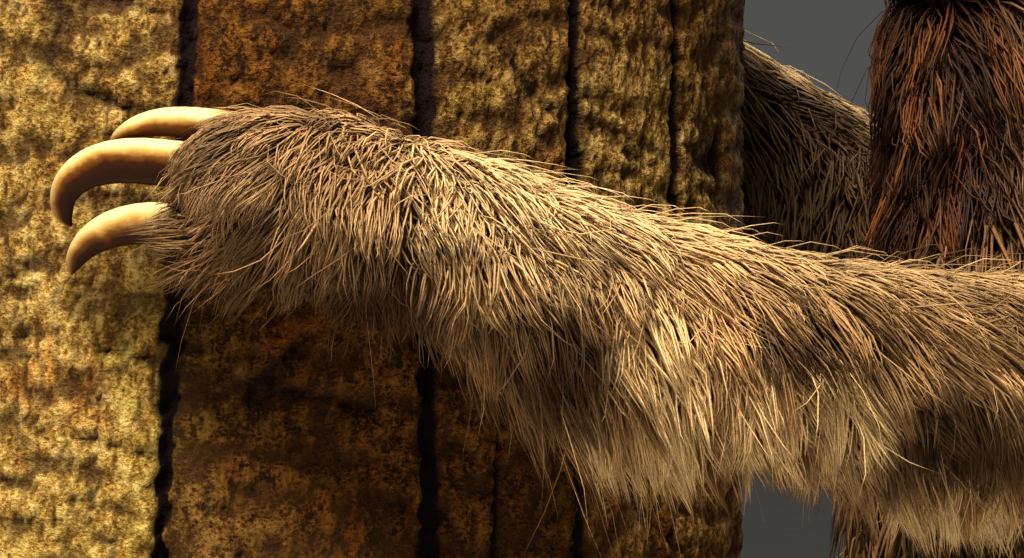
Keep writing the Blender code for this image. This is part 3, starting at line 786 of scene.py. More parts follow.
# Patches of the left arm: place along X, height, half length and half height. The bright
# ones are locks of long bleached hair that stand out from the rest. The dark ones are
# painted shade.
BRIGHT_LOCKS = (
    (0.144, 0.604, 0.014, 0.024),
    (0.178, 0.593, 0.011, 0.014),
    (0.201, 0.594, 0.012, 0.014),
    (0.240, 0.563, 0.028, 0.010),
    (0.120, 0.590, 0.007, 0.008),
)
SHADE_PATCHES = (
    (0.189, 0.617, 0.024, 0.007),
    (0.238, 0.589, 0.030, 0.018),
    (0.112, 0.613, 0.019, 0.018),
    (0.058, 0.635, 0.028, 0.016),
)


def towards(colour, other, share, where=True):
    """Moves colours towards another by a share for each point, where the points are meant."""
    return colour + (other - colour) * np.clip(np.where(where, share, 0), 0, 1)[:, None]


def in_patches(points, patches):
    """1 in the middle of the left arm's nearest patch, falling to 0 past its oval edge."""
    share = np.zeros(len(points))
    for along, height, half_length, half_height in patches:
        beside = (points[:, 0] - along) / half_length
        above = (points[:, 2] - height) / half_height
        share = np.maximum(share, np.exp(-((beside**2 + above**2) ** 1.5)))
    return np.where(points[:, 1] < 0, share, 0)


def bright_share(points):
    """1 in the bright locks of the left arm. A wave along the arm parts them into streaks."""
    streak = smooth_step(ripple(points * (1.0, 0.3, 0.3), 0.013, 17), -0.70, -0.10)
    return in_patches(points, BRIGHT_LOCKS) * streak


def line_middle(nearest, spot):
    """The point on its own line that each skin point belongs to."""
    middle = np.zeros((len(spot), 3))
    for index, line in enumerate(LINES.values()):
        found = [np.interp(spot, line["places"], line["points"][:, axis]) for axis in range(3)]
        middle = np.where((nearest == index)[:, None], np.stack(found, 1), middle)
    return middle


# %% Markings of the limbs
def limb_markings(colour, points, nearest, spot, arm, leg):
    """Hands and feet, golden tops from a painted highlight, undersides and the arms' chest sides
    darkened with painted shade, and the left arm's patches of painted shade and bleached locks.

    spot counts the stations along the limb: its elbow or knee is at 2, its wrist at 4 and
    its end at 7."""
    colour = towards(colour, HAND_BROWN, smooth_step(spot, 4.0, 4.6), arm)
    colour = towards(colour, HAND_BROWN, smooth_step(spot, 3.8, 4.4), leg)
    # Painted highlight: arm hair is golden above a set height, before the wrist, where light from
    # above falls.
    sunlit = smooth_step(spot, 4.6, 3.6) * smooth_step(points[:, 2], 0.624, 0.670)
    colour = towards(colour, GOLDEN, sunlit * 0.72, arm)
    middle = line_middle(nearest, spot)
    # Painted shade: hair below the limb's middle line is darkened towards brown.
    low = smooth_step(middle[:, 2] - points[:, 2], 0.006, 0.030)
    colour = towards(colour, BROWN * 1.1, low * 0.62, arm | leg)
    # Painted shade: the arms' sides that face the chest are darkened, most before the wrist.
    chest_side_shade = smooth_step((middle[:, 1] - points[:, 1]) * np.sign(middle[:, 1]), 0.004, 0.024)
    colour = towards(colour, BROWN * 0.45, chest_side_shade * smooth_step(spot, 5.0, 3.6) * 0.92, arm)
    # Painted shade: the left arm's dark patches.
    colour = towards(colour, BROWN * 0.35, in_patches(points, SHADE_PATCHES) * 0.95, arm)
    return towards(colour, GOLDEN * 1.8, bright_share(points) * 0.97, arm)


# %% Markings of the body
def body_markings(colour, points, patch, torso, neck):
    """Dark shoulders, armpits darkened with painted shade, a neck nearly black with rust streaks
    whose darkness is partly painted shade, and the pale saddle with its line.
    """
    mantle = smooth_step(points[:, 2], 0.600, 0.650)
    colour = towards(colour, BROWN * 0.8, mantle * 0.8, torso)
    # Painted shade: the torso is darkened in the armpits, under the arms.
    armpit_shade = bell(points[:, 2], 0.560, 0.030) * smooth_step(points[:, 0], 0.30, 0.25)
    colour = towards(colour, BROWN * 0.5, armpit_shade * 0.9, torso)
    streaks = smooth_step(ripple(points, 0.016, 15), 0.15, 0.6) * 0.7
    nape = smooth_step(points[:, 0], 0.256, 0.300) * 0.85
    # The front of the neck goes nearly black, partly its own dark brown and partly painted shade;
    # it is lighter at the nape and towards the head.
    dark = (1 - nape) * (1 - 0.5 * smooth_step(points[:, 2], 0.735, 0.775))
    colour = towards(colour, DEEP_BROWN, 0.97 * dark, neck)
    colour = towards(colour, RUST, streaks * dark, neck)
    saddle = bell(points[:, 2], 0.50, 0.075) * smooth_step(points[:, 0], 0.33, 0.37)
    middle_line = bell(points[:, 1], 0, 0.010) * saddle
    colour = towards(colour, PALE, saddle * (0.35 + 0.5 * patch), torso)
    return towards(colour, STRIPE, middle_line * 0.85, torso)


# %% Markings of the head
EYE_PLACE = np.array((0.0385, 0.0225, 0.0070))  # forward, to the side and up
STRIPE_START = 0.018  # how far from the middle the eye stripe begins to fall and widen


def head_markings(colour, points, head):
    """A pale face with brown muzzle and throat, and a stripe that falls back from each eye."""
    forward, beside, up = in_head(points).T
    beside = np.abs(beside)
    past = np.maximum(beside - STRIPE_START, 0)
    stripe = bell(up, 0.0075 - 0.38 * past, 0.0056 + 0.16 * past)
    stripe = stripe * smooth_step(beside, 0.010, 0.019) * smooth_step(forward, -0.008, 0.008)
    colour = towards(colour, GREY_BROWN * 1.05, 1, head)
    colour = towards(colour, PALE, smooth_step(forward, 0.006, 0.024) * 0.85, head)
    colour = towards(colour, BROWN, smooth_step(-up, 0.026, 0.036) * 0.85, head)
    colour = towards(colour, BROWN * 1.6, smooth_step(forward, 0.040, 0.048) * 0.8, head)
    return towards(colour, STRIPE, stripe * 0.95, head)


# %% The colour of the whole coat
def coat_colour(points, nearest, spot):
    """The coat's main colour at points near the skin: slow patches, then each part's own."""
    colour = np.tile(GREY_BROWN, (len(points), 1))
    patch = ripple(points, 0.060, 11)
    colour = towards(colour, GREY_BROWN * 1.55, smooth_step(patch, 0.1, 0.9) * 0.7)
    colour = towards(colour, BROWN * 1.3, smooth_step(-patch, 0.1, 0.9) * 0.6)
    which = np.array(NAMES)[nearest]
    arm, leg = (np.char.startswith(which, limb) for limb in ("arm", "leg"))
    colour = limb_markings(colour, points, nearest, spot, arm, leg)
    colour = body_markings(colour, points, patch, which == "torso", which == "neck")
    return head_markings(colour, points, which == "head")


wrist_colour = coat_colour(wrist[None], np.array([NAMES.index("arm_left")]), np.array([4.0]))
print("colour at the left wrist:", np.round(wrist_colour[0], 3))

# %% [markdown]
# ## The skin
#
# One skin runs over the whole body. Tubes with round ends follow the lines, a voxel remesh
# makes one closed surface of them, and a smooth modifier rounds the creases. The head needs
# finer work, so its surface is a grid of its own and joins the same mesh.

# %% Tubes for the body
def tube_points(line, sides=28):
    """Rings across a line. The radius is the flesh's, and rows at the ends close like a ball."""
    points, radii = line["points"], line["flesh"]
    along = unit(np.gradient(points, axis=0))
    turn = np.linspace(0.25, 1.35, 4)
    swing, reach = np.sin(turn), np.cos(turn)[:, None]
    before = points[0] - along[0] * radii[0] * reach
    after = points[-1] + along[-1] * radii[-1] * reach[::-1]
    points = np.concatenate([before, points, after])
    radii = np.concatenate([radii[0] * swing, radii, radii[-1] * swing[::-1]])
    along = unit(np.gradient(points, axis=0))
    upright = np.abs(along[:, 2]).mean() > 0.7
    side = unit(np.cross(along, (1, 0, 0) if upright else (0, 0, 1)))
    over = np.cross(side, along)
    angle = np.linspace(0, 2 * np.pi, sides, endpoint=False)[None, :, None]
    ring = np.cos(angle) * side[:, None] + np.sin(angle) * over[:, None]
    return points[:, None] + ring * radii[:, None, None]


# %% One skin over the tubes
VOXEL = 0.0038
SOFTENING = 6  # rounds of the smooth modifier


def build_body_skin():
    """One closed surface over all the tubes: its points, and its faces as triangles."""
    all_points, all_faces, first = [], [], 0
    for line in LINES.values():
        points, face_sets = closed_grid(tube_points(line))
        for faces in face_sets:
            split = faces[:, :3]
            if faces.shape[1] == 4:
                split = np.concatenate([split, faces[:, [0, 2, 3]]])
            all_faces.append(split + first)
        all_points.append(points)
        first += len(points)
    body = put_mesh("body_form", np.concatenate(all_points), [np.concatenate(all_faces)], None)
    remesh = body.modifiers.new("one_skin", "REMESH")
    remesh.mode = "VOXEL"
    remesh.voxel_size = VOXEL
    soften = body.modifiers.new("soften", "SMOOTH")
    soften.factor = 0.5
    soften.iterations = SOFTENING
    graph = bpy.context.evaluated_depsgraph_get()
    made = bpy.data.meshes.new_from_object(body.evaluated_get(graph))
    bpy.data.objects.remove(body)
    points = np.zeros(len(made.vertices) * 3, np.float32)
    made.vertices.foreach_get("co", points)
    made.calc_loop_triangles()
    corners = np.zeros(len(made.loop_triangles) * 3, np.int32)
    made.loop_triangles.foreach_get("vertices", corners)
    return points.reshape(-1, 3).astype(float), corners.reshape(-1, 3)


body_points, body_triangles = build_body_skin()
print("body skin", len(body_triangles), "triangles")

# %% [markdown]
# The head is a ball of rays. Along each ray the surface lies where a blend of a few
# ellipsoids ends: cranium, jaw, face, chin and muzzle. Then small formulas push it in or out:
# a pit for each eye with a thick lid round it, brows, and the long upturned line of the mouth.
# The grid's pole points forward, so its rings are closest together on the face.

# %% Shape the lids
EYE_RADIUS = 0.0056
LID_WIDTH, LID_HEIGHT = 0.0051, 0.0037
LID_THICKNESS = 0.0008
SOCKET_DEPTH = 0.0095


def lid_ring(beside, above):
    """1 on the rim of the lids, less inside and more outside.

    The opening is a lens: an oval whose height shrinks towards both corners."""
    height = LID_HEIGHT * (1 - 0.38 * np.minimum(np.abs(beside) / LID_WIDTH, 1.25) ** 2)
    return np.hypot(beside / LID_WIDTH, above / height)


def eye_offsets(points, sign):
    """How far points in the head's axes lie beside, above and in front of an eye.

    It also returns the eye's own axis."""
    axis = unit(np.array((0.86, sign * 0.48, 0.10)))
    across = unit(np.cross((0, 0, 1.0), axis))
    above = np.cross(axis, across)
    offset = points - EYE_PLACE * (1, sign, 1)
    return offset @ across, offset @ above, offset @ axis, axis


def lid_relief(rays, reach, sign):
    """How far the skin round one eye moves out along its rays.

    The lids wrap the ball: their surface is a sphere a lid's thickness larger. Round them
    run a rim, a fold, a brow above and a bag below, and inside them the socket sinks in."""
    beside, above, outside, axis = eye_offsets(rays * reach[..., None], sign)
    near = (rays[..., 1] * sign > 0) & (rays[..., 0] > 0.3)
    ring = lid_ring(beside, above)
    ball = (EYE_RADIUS + LID_THICKNESS) ** 2 - beside**2 - above**2
    wrapped = np.sqrt(np.maximum(ball, 0.0014**2))
    hug = smooth_step(ring, 2.3, 1.25) * (wrapped - outside) / np.maximum(rays @ axis, 0.5)
    rim = 0.0006 * bell(ring, 1.14, 0.11)
    upper = smooth_step(above, 0.0, 0.002)
    fold = (0.0004 + 0.0005 * upper) * bell(ring, 1.62, 0.13)
    brow = 0.0018 * np.exp(-(((above - 0.0100) / 0.0036) ** 2) - (beside / 0.012) ** 2)
    bag = 0.0007 * np.exp(-(((above + 0.0075) / 0.0022) ** 2) - (beside / 0.008) ** 2)
    socket = SOCKET_DEPTH * smooth_step(ring, 1.02, 0.88)
    return np.where(near, hug + rim + brow + bag - fold - socket, 0)


# %% Shape the head
RAY_ROWS = ((1.2, 56, 100), (57.5, 177, 56))  # degrees from the pole, and how many rows
RAY_COLUMNS = 288
HALVINGS = 22  # steps of the search for the surface along each ray


def head_grid():
    """Rows of rays from the nose to the nape, at their distance from the head's centre.

    The distance is found by halving: a point outside the head moves the upper limit in, and
    one inside it moves the lower limit out. Then mouth, lips and lids are pressed in."""
    theta = np.radians(np.concatenate([np.linspace(*rows) for rows in RAY_ROWS]))
    phi = np.linspace(0, 2 * np.pi, RAY_COLUMNS, endpoint=False)
    theta, phi = np.meshgrid(theta, phi, indexing="ij")
    rays = np.stack([np.cos(theta), np.sin(theta) * np.cos(phi), np.sin(theta) * np.sin(phi)], -1)
    low, high = np.full(theta.shape, 0.010), np.full(theta.shape, 0.085)
    for _ in range(HALVINGS):
        middle = (low + high) / 2
        outside = head_distance(rays * middle[..., None]) > 0
        high = np.where(outside, middle, high)
        low = np.where(outside, low, middle)
    reach = (low + high) / 2
    yaw = np.degrees(np.arctan2(rays[..., 1], rays[..., 0]))
    pitch = np.degrees(np.arcsin(rays[..., 2]))
    front = smooth_step(rays[..., 0], 0.2, 0.5)
    # The mouth: a crease that rises to its corners, with a soft lip above and below.
    mouth = -29.0 + 11.0 * (yaw / 34.0) ** 2
    reach -= 0.0022 * bell(pitch - mouth, 0, 1.5) * smooth_step(np.abs(yaw), 40, 30) * front
    lips = bell(pitch - mouth, 4.5, 3.5) + 0.8 * bell(pitch - mouth, -4.5, 3.5)
    reach += 0.0009 * lips * smooth_step(np.abs(yaw), 44, 26) * front
    # A shallow groove from the nose to the mouth.
    groove = bell(yaw, 0, 1.6) * smooth_step(pitch, -12, -18) * smooth_step(pitch, -33, -27)
    reach -= 0.0008 * groove
    for sign in (-1, 1):
        reach += lid_relief(rays, reach, sign)
    return rays * reach[..., None]


head_local, head_faces = closed_grid(head_grid())
head_points = HEAD_CENTRE + head_local @ HEAD_AXES.T
head_faces = outward(head_points, head_faces)
head_triangles = np.concatenate([head_faces[0][:, :3], head_faces[0][:, [0, 2, 3]], head_faces[1]])
print("head skin", len(head_triangles), "triangles")

# %% Join skin and head
# Painted shade: under the coat the skin is darkened to these shares of the coat's colour, less on
# the face where the hair is thin.
SKIN_SHADE = np.array((0.25, 0.185, 0.14))  # skin under the coat, as a share of its colour
BARE_SHADE = np.array((0.52, 0.50, 0.50))  # the same for the face, where the hair is thin
LID_COLOUR = np.array((0.022, 0.013, 0.009))
skin_points = np.concatenate([body_points, head_points])
skin_triangles = np.concatenate([body_triangles, head_triangles + len(body_points)])
field = body_field(skin_points)
is_head = np.arange(len(skin_points)) >= len(body_points)
nearest = np.where(is_head, NAMES.index("head"), field[2])
skin_tone = coat_colour(skin_points, nearest, field[5])
local = in_head(skin_points)
bare = np.where(is_head, smooth_step(local[:, 0], 0.012, 0.030), 0)
skin_colour = skin_tone * (SKIN_SHADE + (BARE_SHADE - SKIN_SHADE) * bare[:, None])
lid_zone = np.zeros(len(skin_points))
for sign in (-1, 1):
    beside, above, _, _ = eye_offsets(local, sign)
    near_eye = smooth_step(lid_ring(beside, above), 1.75, 1.25)
    lid_zone = np.maximum(lid_zone, near_eye * is_head * (local[:, 0] > 0.02))
skin_colour = towards(skin_colour, LID_COLOUR, lid_zone)
print("whole skin:", len(skin_triangles), "triangles")

# %% [markdown]
# Most of the skin lies under the coat. It is dull with a fine pebbled bump, and dark: its
# own colour darkened by painted shade from the coat over it. It shows bare on the lids, and
# through the short hair of the face, where less shade is painted and it is paler.

# %% Finish the skin
hide = new_finish("skin", Roughness=0.70, Specular_IOR_Level=0.15)
pebble = noise(hide, place(hide), 900, 3, 0.5)
hide_tone = stored(hide, "tone", "Color")
pebbled = span(hide, pebble, 0.35, 0.7)
join(hide, mixed(hide, pebbled, hide_tone, (0.70, 0.62, 0.56), "MULTIPLY"), "Base Color")
join(hide, bump(hide, pebble, 0.45, 0.0006), "Normal")

skin = put_mesh("skin", skin_points, [skin_triangles], hide, {"tone": skin_colour})
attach(skin, "root")
FLESH_WORDS = "head neck torso tail upper forearm hand thigh shank foot".split()
FLESH = [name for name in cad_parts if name.split("_")[0] in FLESH_WORDS]
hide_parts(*FLESH)
print("skin stands for", len(FLESH), "nodes")

# %% [markdown]
# ## Eyes and nose
#
# A sloth's eyes are small, round and dark, with hardly a rim of brown. Each is a ball with a
# wet gloss, deep in its lids. The nose is a broad pad of black leathery skin, a flattened
# ball with two nostrils pressed into it.

# %% Make the eyes
EYE_ROWS, EYE_COLUMNS = 26, 40
EYE_POLE = 0.05  # radians left open at each pole, which a fan closes
gloss = new_finish(
    "eye", Roughness=0.04, Specular_IOR_Level=0.6, Coat_Weight=0.8, Coat_Roughness=0.02
)
iris = ramp(
    gloss,
    stored(gloss, "off_axis"),
    [
        (0.0, (0.002, 0.001, 0.001)),
        (0.40, (0.003, 0.002, 0.001)),
        (0.48, (0.030, 0.013, 0.005)),
        (0.66, (0.016, 0.007, 0.003)),
        (0.80, (0.006, 0.003, 0.002)),
    ],
)
join(gloss, iris, "Base Color")


def build_eye(name, sign):
    """A ball whose pole points along the eye's axis.

    Each point stores its angle from that pole, in right angles."""
    axis = unit(HEAD_AXES @ unit(np.array((0.90, sign * 0.42, 0.05))))
    across = unit(np.cross((0, 0, 1.0), axis))
    above = np.cross(axis, across)
    theta = np.linspace(EYE_POLE, np.pi - EYE_POLE, EYE_ROWS)[:, None, None]
    phi = np.linspace(0, 2 * np.pi, EYE_COLUMNS, endpoint=False)[None, :, None]
    swing = np.cos(phi) * across + np.sin(phi) * above
    ball = np.cos(theta) * axis + np.sin(theta) * swing
    centre = HEAD_CENTRE + HEAD_AXES @ (EYE_PLACE * (1, sign, 1))
    points, faces = closed_grid(centre + EYE_RADIUS * ball)
    off_axis = np.append(np.repeat(theta.ravel() / np.pi * 2, EYE_COLUMNS), [0, 2])
    piece = put_mesh(f"{name}_ball", points, faces, gloss, {"off_axis": off_axis})
    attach(piece, "root")
    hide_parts(name)
    return piece


eyes = [build_eye(name, sign) for name, sign in (("eye_left", -1), ("eye_right", 1))]
print("eye faces:", [len(piece.data.polygons) for piece in eyes])

# %% Make the nose
NOSE_PLACE = np.array((0.0540, 0.0, -0.0110))
NOSE_RADII = np.array((0.0050, 0.0112, 0.0074))
SQUARENESS = 2.6  # 2 is round; more is squarer
leather = new_finish("nose_leather", Roughness=0.46, Specular_IOR_Level=0.4)
pores = add(leather, "TexVoronoi", {"Vector": place(leather), "Scale": 1500}).outputs["Distance"]
worn = noise(leather, place(leather), 260, 3)
black = ramp(leather, worn, [(0.35, (0.010, 0.007, 0.006)), (0.7, (0.035, 0.022, 0.017))])
join(leather, black, "Base Color")
join(leather, bump(leather, pores, 0.35, 0.0003), "Normal")


def build_nose():
    """A flattened ball in the head's axes, rather square from the front.

    Two comma-shaped pits and a cleft press it in."""
    theta = np.linspace(0.03, np.pi - 0.03, 60)[:, None]
    phi = np.linspace(0, 2 * np.pi, 96, endpoint=False)[None, :]
    x = np.cos(theta) * np.ones_like(phi)
    y = np.sin(theta) * np.cos(phi)
    z = np.sin(theta) * np.sin(phi)
    squared = (np.abs(y) ** SQUARENESS + np.abs(z) ** SQUARENESS) ** (1 / SQUARENESS)
    widen = np.where(squared > 1e-6, np.hypot(y, z) / np.maximum(squared, 1e-6), 1)
    y, z = y * widen, z * widen
    push = np.zeros_like(x)
    for sign in (-1, 1):
        beside = (y * sign - 0.46) / 0.17 + 0.35 * (z + 0.25)
        push += 0.75 * np.exp(-(beside**2) - ((z + 0.22) / 0.20) ** 2)
    push += 0.16 * bell(y, 0, 0.05) * smooth_step(z, 0.1, -0.3)
    x = np.where(x > 0, x - push * smooth_step(x, 0.1, 0.5), x)
    shaped = NOSE_PLACE + np.stack([x, y, z], -1) * NOSE_RADII
    return HEAD_CENTRE + shaped @ HEAD_AXES.T


nose = put_mesh("nose_pad", *closed_grid(build_nose()), leather)
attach(nose, "root")
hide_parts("nose")
print("nose faces:", len(nose.data.polygons))

# %% [markdown]
# ## Claws
#
# The claws are the sloth's hooks: deep, slightly flattened horn that bends more and more to
# its tip. Each is a run of oval rings along the same line as its solid. The back of the claw
# is cream, its flanks turn brown, and its underside is a dark groove: the horn's own colours,
# deepened by painted shade on the flanks, the underside and the tip. The painted shade
# reaches further up the middle claw of a paw than up the outer two.

# %% Lay out the claws
CLAW_ROOT = 0.014  # how far each claw goes back into the paw
HAND_CLAW_WIDTH, HAND_CLAW_DEPTH = 0.0092, 0.0136
FOOT_CLAW_WIDTH, FOOT_CLAW_DEPTH = 0.0076, 0.0106
# The tip's share of the depth, the powers of the taper and of the bend, and the fan's spread.
CLAW_TIP, CLAW_TAPER, CLAW_HOOK, CLAW_SPREAD = 0.26, 3.0, 1.4, 0.10
CLAW_STEPS, CLAW_SIDES = 44, 32
# Painted shade on each claw's flank, as a share of the middle claw's.
FLANK_SHADES = (0.74, 1.0, 0.72)  # how dark each claw's flank is beside the middle one's
# Base, way out, way of the bend, length, bend in degrees, depth and how late it bends.
CLAWS_HAND_LEFT = (
    ((0.003, -0.1930, 0.6882), (-1, 0.10, 0.12), (0, 0.50, -1), 0.0390, 54, 0.0098, 2.2),
    ((-0.003, -0.1945, 0.6744), (-1, 0.06, 0.14), (0, 0.32, -1), 0.0605, 132, 0.0158, 3.0),
    ((-0.004, -0.1945, 0.6558), (-1, 0.08, 0.10), (0, 0.35, -1), 0.0500, 82, 0.0142, 2.2),
)


def claw_fan(stations, length, bend, depth, spacing):
    """Three claws side by side at a limb's end, with the same values as the list above.

    They stand along the limb's end, square to the way to the trunk, and spread a little."""
    end = np.array(stations[-2][0])
    way = unit(np.array(stations[-1][0]) - end)
    inward = unit(np.array((-end[0], -end[1], 0.0)))
    across = unit(np.cross(way, inward))
    across = across if across[2] > 0 else -across
    fan = []
    for k in (1, 0, -1):
        base = end + way * 0.004 + across * spacing * k - inward * 0.002
        forward = way + across * CLAW_SPREAD * k - inward * 0.10
        own_length = length * (1 - 0.10 * abs(k))
        fan.append((base, forward, inward - (0, 0, 0.25), own_length, bend, depth, CLAW_HOOK))
    return fan


print("claws of the left hand:", [round(1000 * claw[3], 1) for claw in CLAWS_HAND_LEFT], "mm")


# %% Shape a claw
def build_claw(width, base, forward, inward, length, bend, depth, hook):
    """Rings of a claw. The heading turns with the share of the length to the power of hook.

    A ring is a superellipse with flat flanks, narrower towards its underside, where a
    groove dents it. The rings stand square to the line, and their side direction is square
    to the plane that the claw bends in."""
    forward = unit(np.array(forward, float))
    inward = np.array(inward, float)
    inward = unit(inward - (inward @ forward) * forward)
    share = np.linspace(0, 1, CLAW_STEPS)
    heading = math.radians(bend) * (share + 0.5 / CLAW_STEPS) ** hook
    way = np.cos(heading)[:, None] * forward + np.sin(heading)[:, None] * inward
    line = np.array(base) + (np.cumsum(way, 0) - way[0]) * length / (CLAW_STEPS - 1)
    root = np.array(base) - forward * CLAW_ROOT * np.array([[1.0], [0.6], [0.25]])
    line = np.concatenate([root, line])
    size = np.concatenate([[0.88, 0.95, 1.0], 1.0 - (1.0 - CLAW_TIP) * share**CLAW_TAPER])
    size[-4:] *= (0.95, 0.84, 0.64, 0.30)
    along = unit(np.gradient(line, axis=0))
    side = np.tile(unit(np.cross(forward, inward)), (len(line), 1))
    down = np.cross(side, along)
    angle = np.linspace(0, 2 * np.pi, CLAW_SIDES, endpoint=False)
    across = np.sign(np.cos(angle)) * np.abs(np.cos(angle)) ** 0.72
    below = np.sign(np.sin(angle)) * np.abs(np.sin(angle)) ** 0.88
    across = across * (1 - 0.16 * np.maximum(below, 0))
    below = below - 0.20 * bell(angle, np.pi / 2, 0.30)
    wear = 1 + 0.010 * np.sin(np.linspace(0, 75, len(line))) * (1 - np.linspace(0, 1, len(line)))
    ring = across[None, :, None] * side[:, None] * width / 2
    ring = ring + below[None, :, None] * down[:, None] * depth / 2
    points, faces = closed_grid(line[:, None] + ring * (size * wear)[:, None, None])
    under = np.tile(0.5 + 0.5 * np.sin(angle), (len(line), 1)).ravel()
    distal = np.repeat(np.linspace(0, 1, len(line)), CLAW_SIDES)
    numbers = {"under": np.append(under, [0.5, 0.5]), "distal": np.append(distal, [0, 1])}
    return points, faces, numbers


# %% Finish the claws
horn = new_finish("horn", Roughness=0.40, Specular_IOR_Level=0.10)
streak = noise(horn, place(horn, (0.35, 1, 1)), 900, 4, 0.6)
cloud = noise(horn, place(horn), 130, 3)
clouded = maths(horn, "MULTIPLY", maths(horn, "SUBTRACT", cloud, 0.5), 0.35)
flank = maths(horn, "ADD", stored(horn, "under"), clouded)
# The horn turns from cream on its back to brown on its flanks, and painted shade takes the flanks
# and the underside on to nearly black.
horn_colour = ramp(
    horn,
    flank,
    [
        (0.08, (0.82, 0.62, 0.26)),
        (0.20, (0.60, 0.35, 0.085)),
        (0.33, (0.20, 0.068, 0.009)),
        (0.46, (0.048, 0.011, 0.001)),
        (0.90, (0.014, 0.003, 0.001)),
    ],
)
# Painted shade: the tip darkens where it curls away from the light.
tip_dark = span(horn, stored(horn, "distal"), 0.66, 1.0, 0.0, 0.8)
horn_colour = mixed(horn, tip_dark, horn_colour, (0.34, 0.22, 0.14), "MULTIPLY")
root_dark = span(horn, stored(horn, "distal"), 0.16, 0.05, 0.0, 0.8)
horn_colour = mixed(horn, root_dark, horn_colour, (0.60, 0.42, 0.28), "MULTIPLY")
streaked = span(horn, streak, 0.4, 0.7, 0, 0.35)
horn_colour = mixed(horn, streaked, horn_colour, (0.72, 0.60, 0.48), "MULTIPLY")
join(horn, horn_colour, "Base Color")
join(horn, bump(horn, streak, 0.30, 0.0004), "Normal")
print("nodes in the horn:", len(horn.node_tree.nodes))

# %% Place the claws
HAND_FAN = (0.058, 88, HAND_CLAW_DEPTH, 0.0150)  # length, bend in degrees, depth, spacing
FOOT_FAN = (0.044, 84, FOOT_CLAW_DEPTH, 0.0125)
claw_sets = {
    "hand_left": (CLAWS_HAND_LEFT, HAND_CLAW_WIDTH),
    "hand_right": (claw_fan(STATIONS["arm_right"], *HAND_FAN), HAND_CLAW_WIDTH),
    "foot_left": (claw_fan(STATIONS["leg_left"], *FOOT_FAN), FOOT_CLAW_WIDTH),
    "foot_right": (claw_fan(STATIONS["leg_right"], *FOOT_FAN), FOOT_CLAW_WIDTH),
}
for paw, (fan, width) in claw_sets.items():
    for number, (claw, dark) in enumerate(zip(fan, FLANK_SHADES), start=1):
        points, faces, numbers = build_claw(width, *claw)
        # Painted shade on the flanks: full on the middle claw, less on the outer two.
        numbers["under"] = numbers["under"] * dark
        piece = put_mesh(f"horn_{paw}_{number}", points, faces, horn, numbers)
        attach(piece, "root")
        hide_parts(f"claw_{paw}_{number}")
print("claws:", sum(len(fan) for fan, _ in claw_sets.values()))

# %% [markdown]
# ## The coat
#
# A sloth's coat is long, coarse and shaggy. Here each strand is a thin closed blade of its
# own: a three-sided spike whose rings narrow to a point, so that it has thickness and
# catches light on one side. It takes four steps: roots are strewn over the skin, each root
# gets a way to lie, a spine is drawn from it, and a blade is built round the spine. All
# chances come from one seeded generator, so each run grows the same coat.

# %% Strew the roots
chance = np.random.default_rng(29)
PAW_DENSITY = 1.6  # how much denser the hair is on the feet
HAND_SHARE = 0.45  # of that for the hands
on_leg = np.isin(nearest, [NAMES.index("leg_left"), NAMES.index("leg_right")])
on_arm = np.isin(nearest, [NAMES.index("arm_left"), NAMES.index("arm_right")])
on_paw = on_leg * smooth_step(field[5], 4.0, 5.2)
on_paw = on_paw + HAND_SHARE * on_arm * smooth_step(field[5], 4.8, 5.8)


def strew(triangles, count):
    """Random points on skin triangles, as many on each as its area asks, with the way out.

    Paws have finer hair, so their area counts for more. Inside a triangle a point is one
    corner plus random shares of two sides. Shares that sum to more than 1 are turned over."""
    corners = skin_points[triangles]
    normal = np.cross(corners[:, 1] - corners[:, 0], corners[:, 2] - corners[:, 0])
    weight = np.linalg.norm(normal, axis=1) * (1 + PAW_DENSITY * on_paw[triangles[:, 0]])
    pick = chance.choice(len(triangles), count, p=weight / weight.sum())
    one, two = chance.random((2, count, 1))
    over = one + two > 1
    one = np.where(over, 1 - one, one)
    two = np.where(over, 1 - two, two)
    a, b, c = corners[pick].transpose(1, 0, 2)
    return a + one * (b - a) + two * (c - a), unit(normal[pick])


# %% [markdown]
# On a limb the hair runs down, and also away from a whorl at the wrist: towards the claws
# beyond it and back towards the elbow before it. On the body it hangs and turns to the back.
# On the head it spreads from the middle of the face and from each eye, and hangs at the sides
# and the throat.

# %% Comb the limbs
DOWN = np.array((0.0, 0.0, -1.0))
ELBOW = 2.1  # the elbow's and knee's place along a limb, in stations
WHORLS = {"arm": 4.15, "leg": 4.0}  # the whorl's place


def comb_limb(name, points, normal, along, spot, wave):
    """The way of a limb's hair, and how loosely it keeps to it.

    Down, plus a share of the way along the limb that turns round at the whorl."""
    whorl = WHORLS[name[:3]]
    strayed = spot + 0.45 * ripple(points, 0.020, 22) + chance.normal(0, 0.25, len(points))
    turn = smooth_step(strayed, whorl - 0.6, whorl + 0.5)[:, None] * 2 - 1
    paw = smooth_step(spot, 4.7, 5.8)[:, None]
    under = smooth_step(-normal[:, 2:], -0.2, 0.7)
    turn = np.where(turn > 0, 0.50, 0.75) * turn
    way = along * (turn + 0.12 * wave + paw * (0.15 + 0.9 * under)) + DOWN
    loose = 0.26 + 0.50 * bell(spot[:, None], whorl, 0.6)
    if name.startswith("leg"):
        loose = loose + 0.35 * bell(spot[:, None], ELBOW, 0.5)
    return way, loose


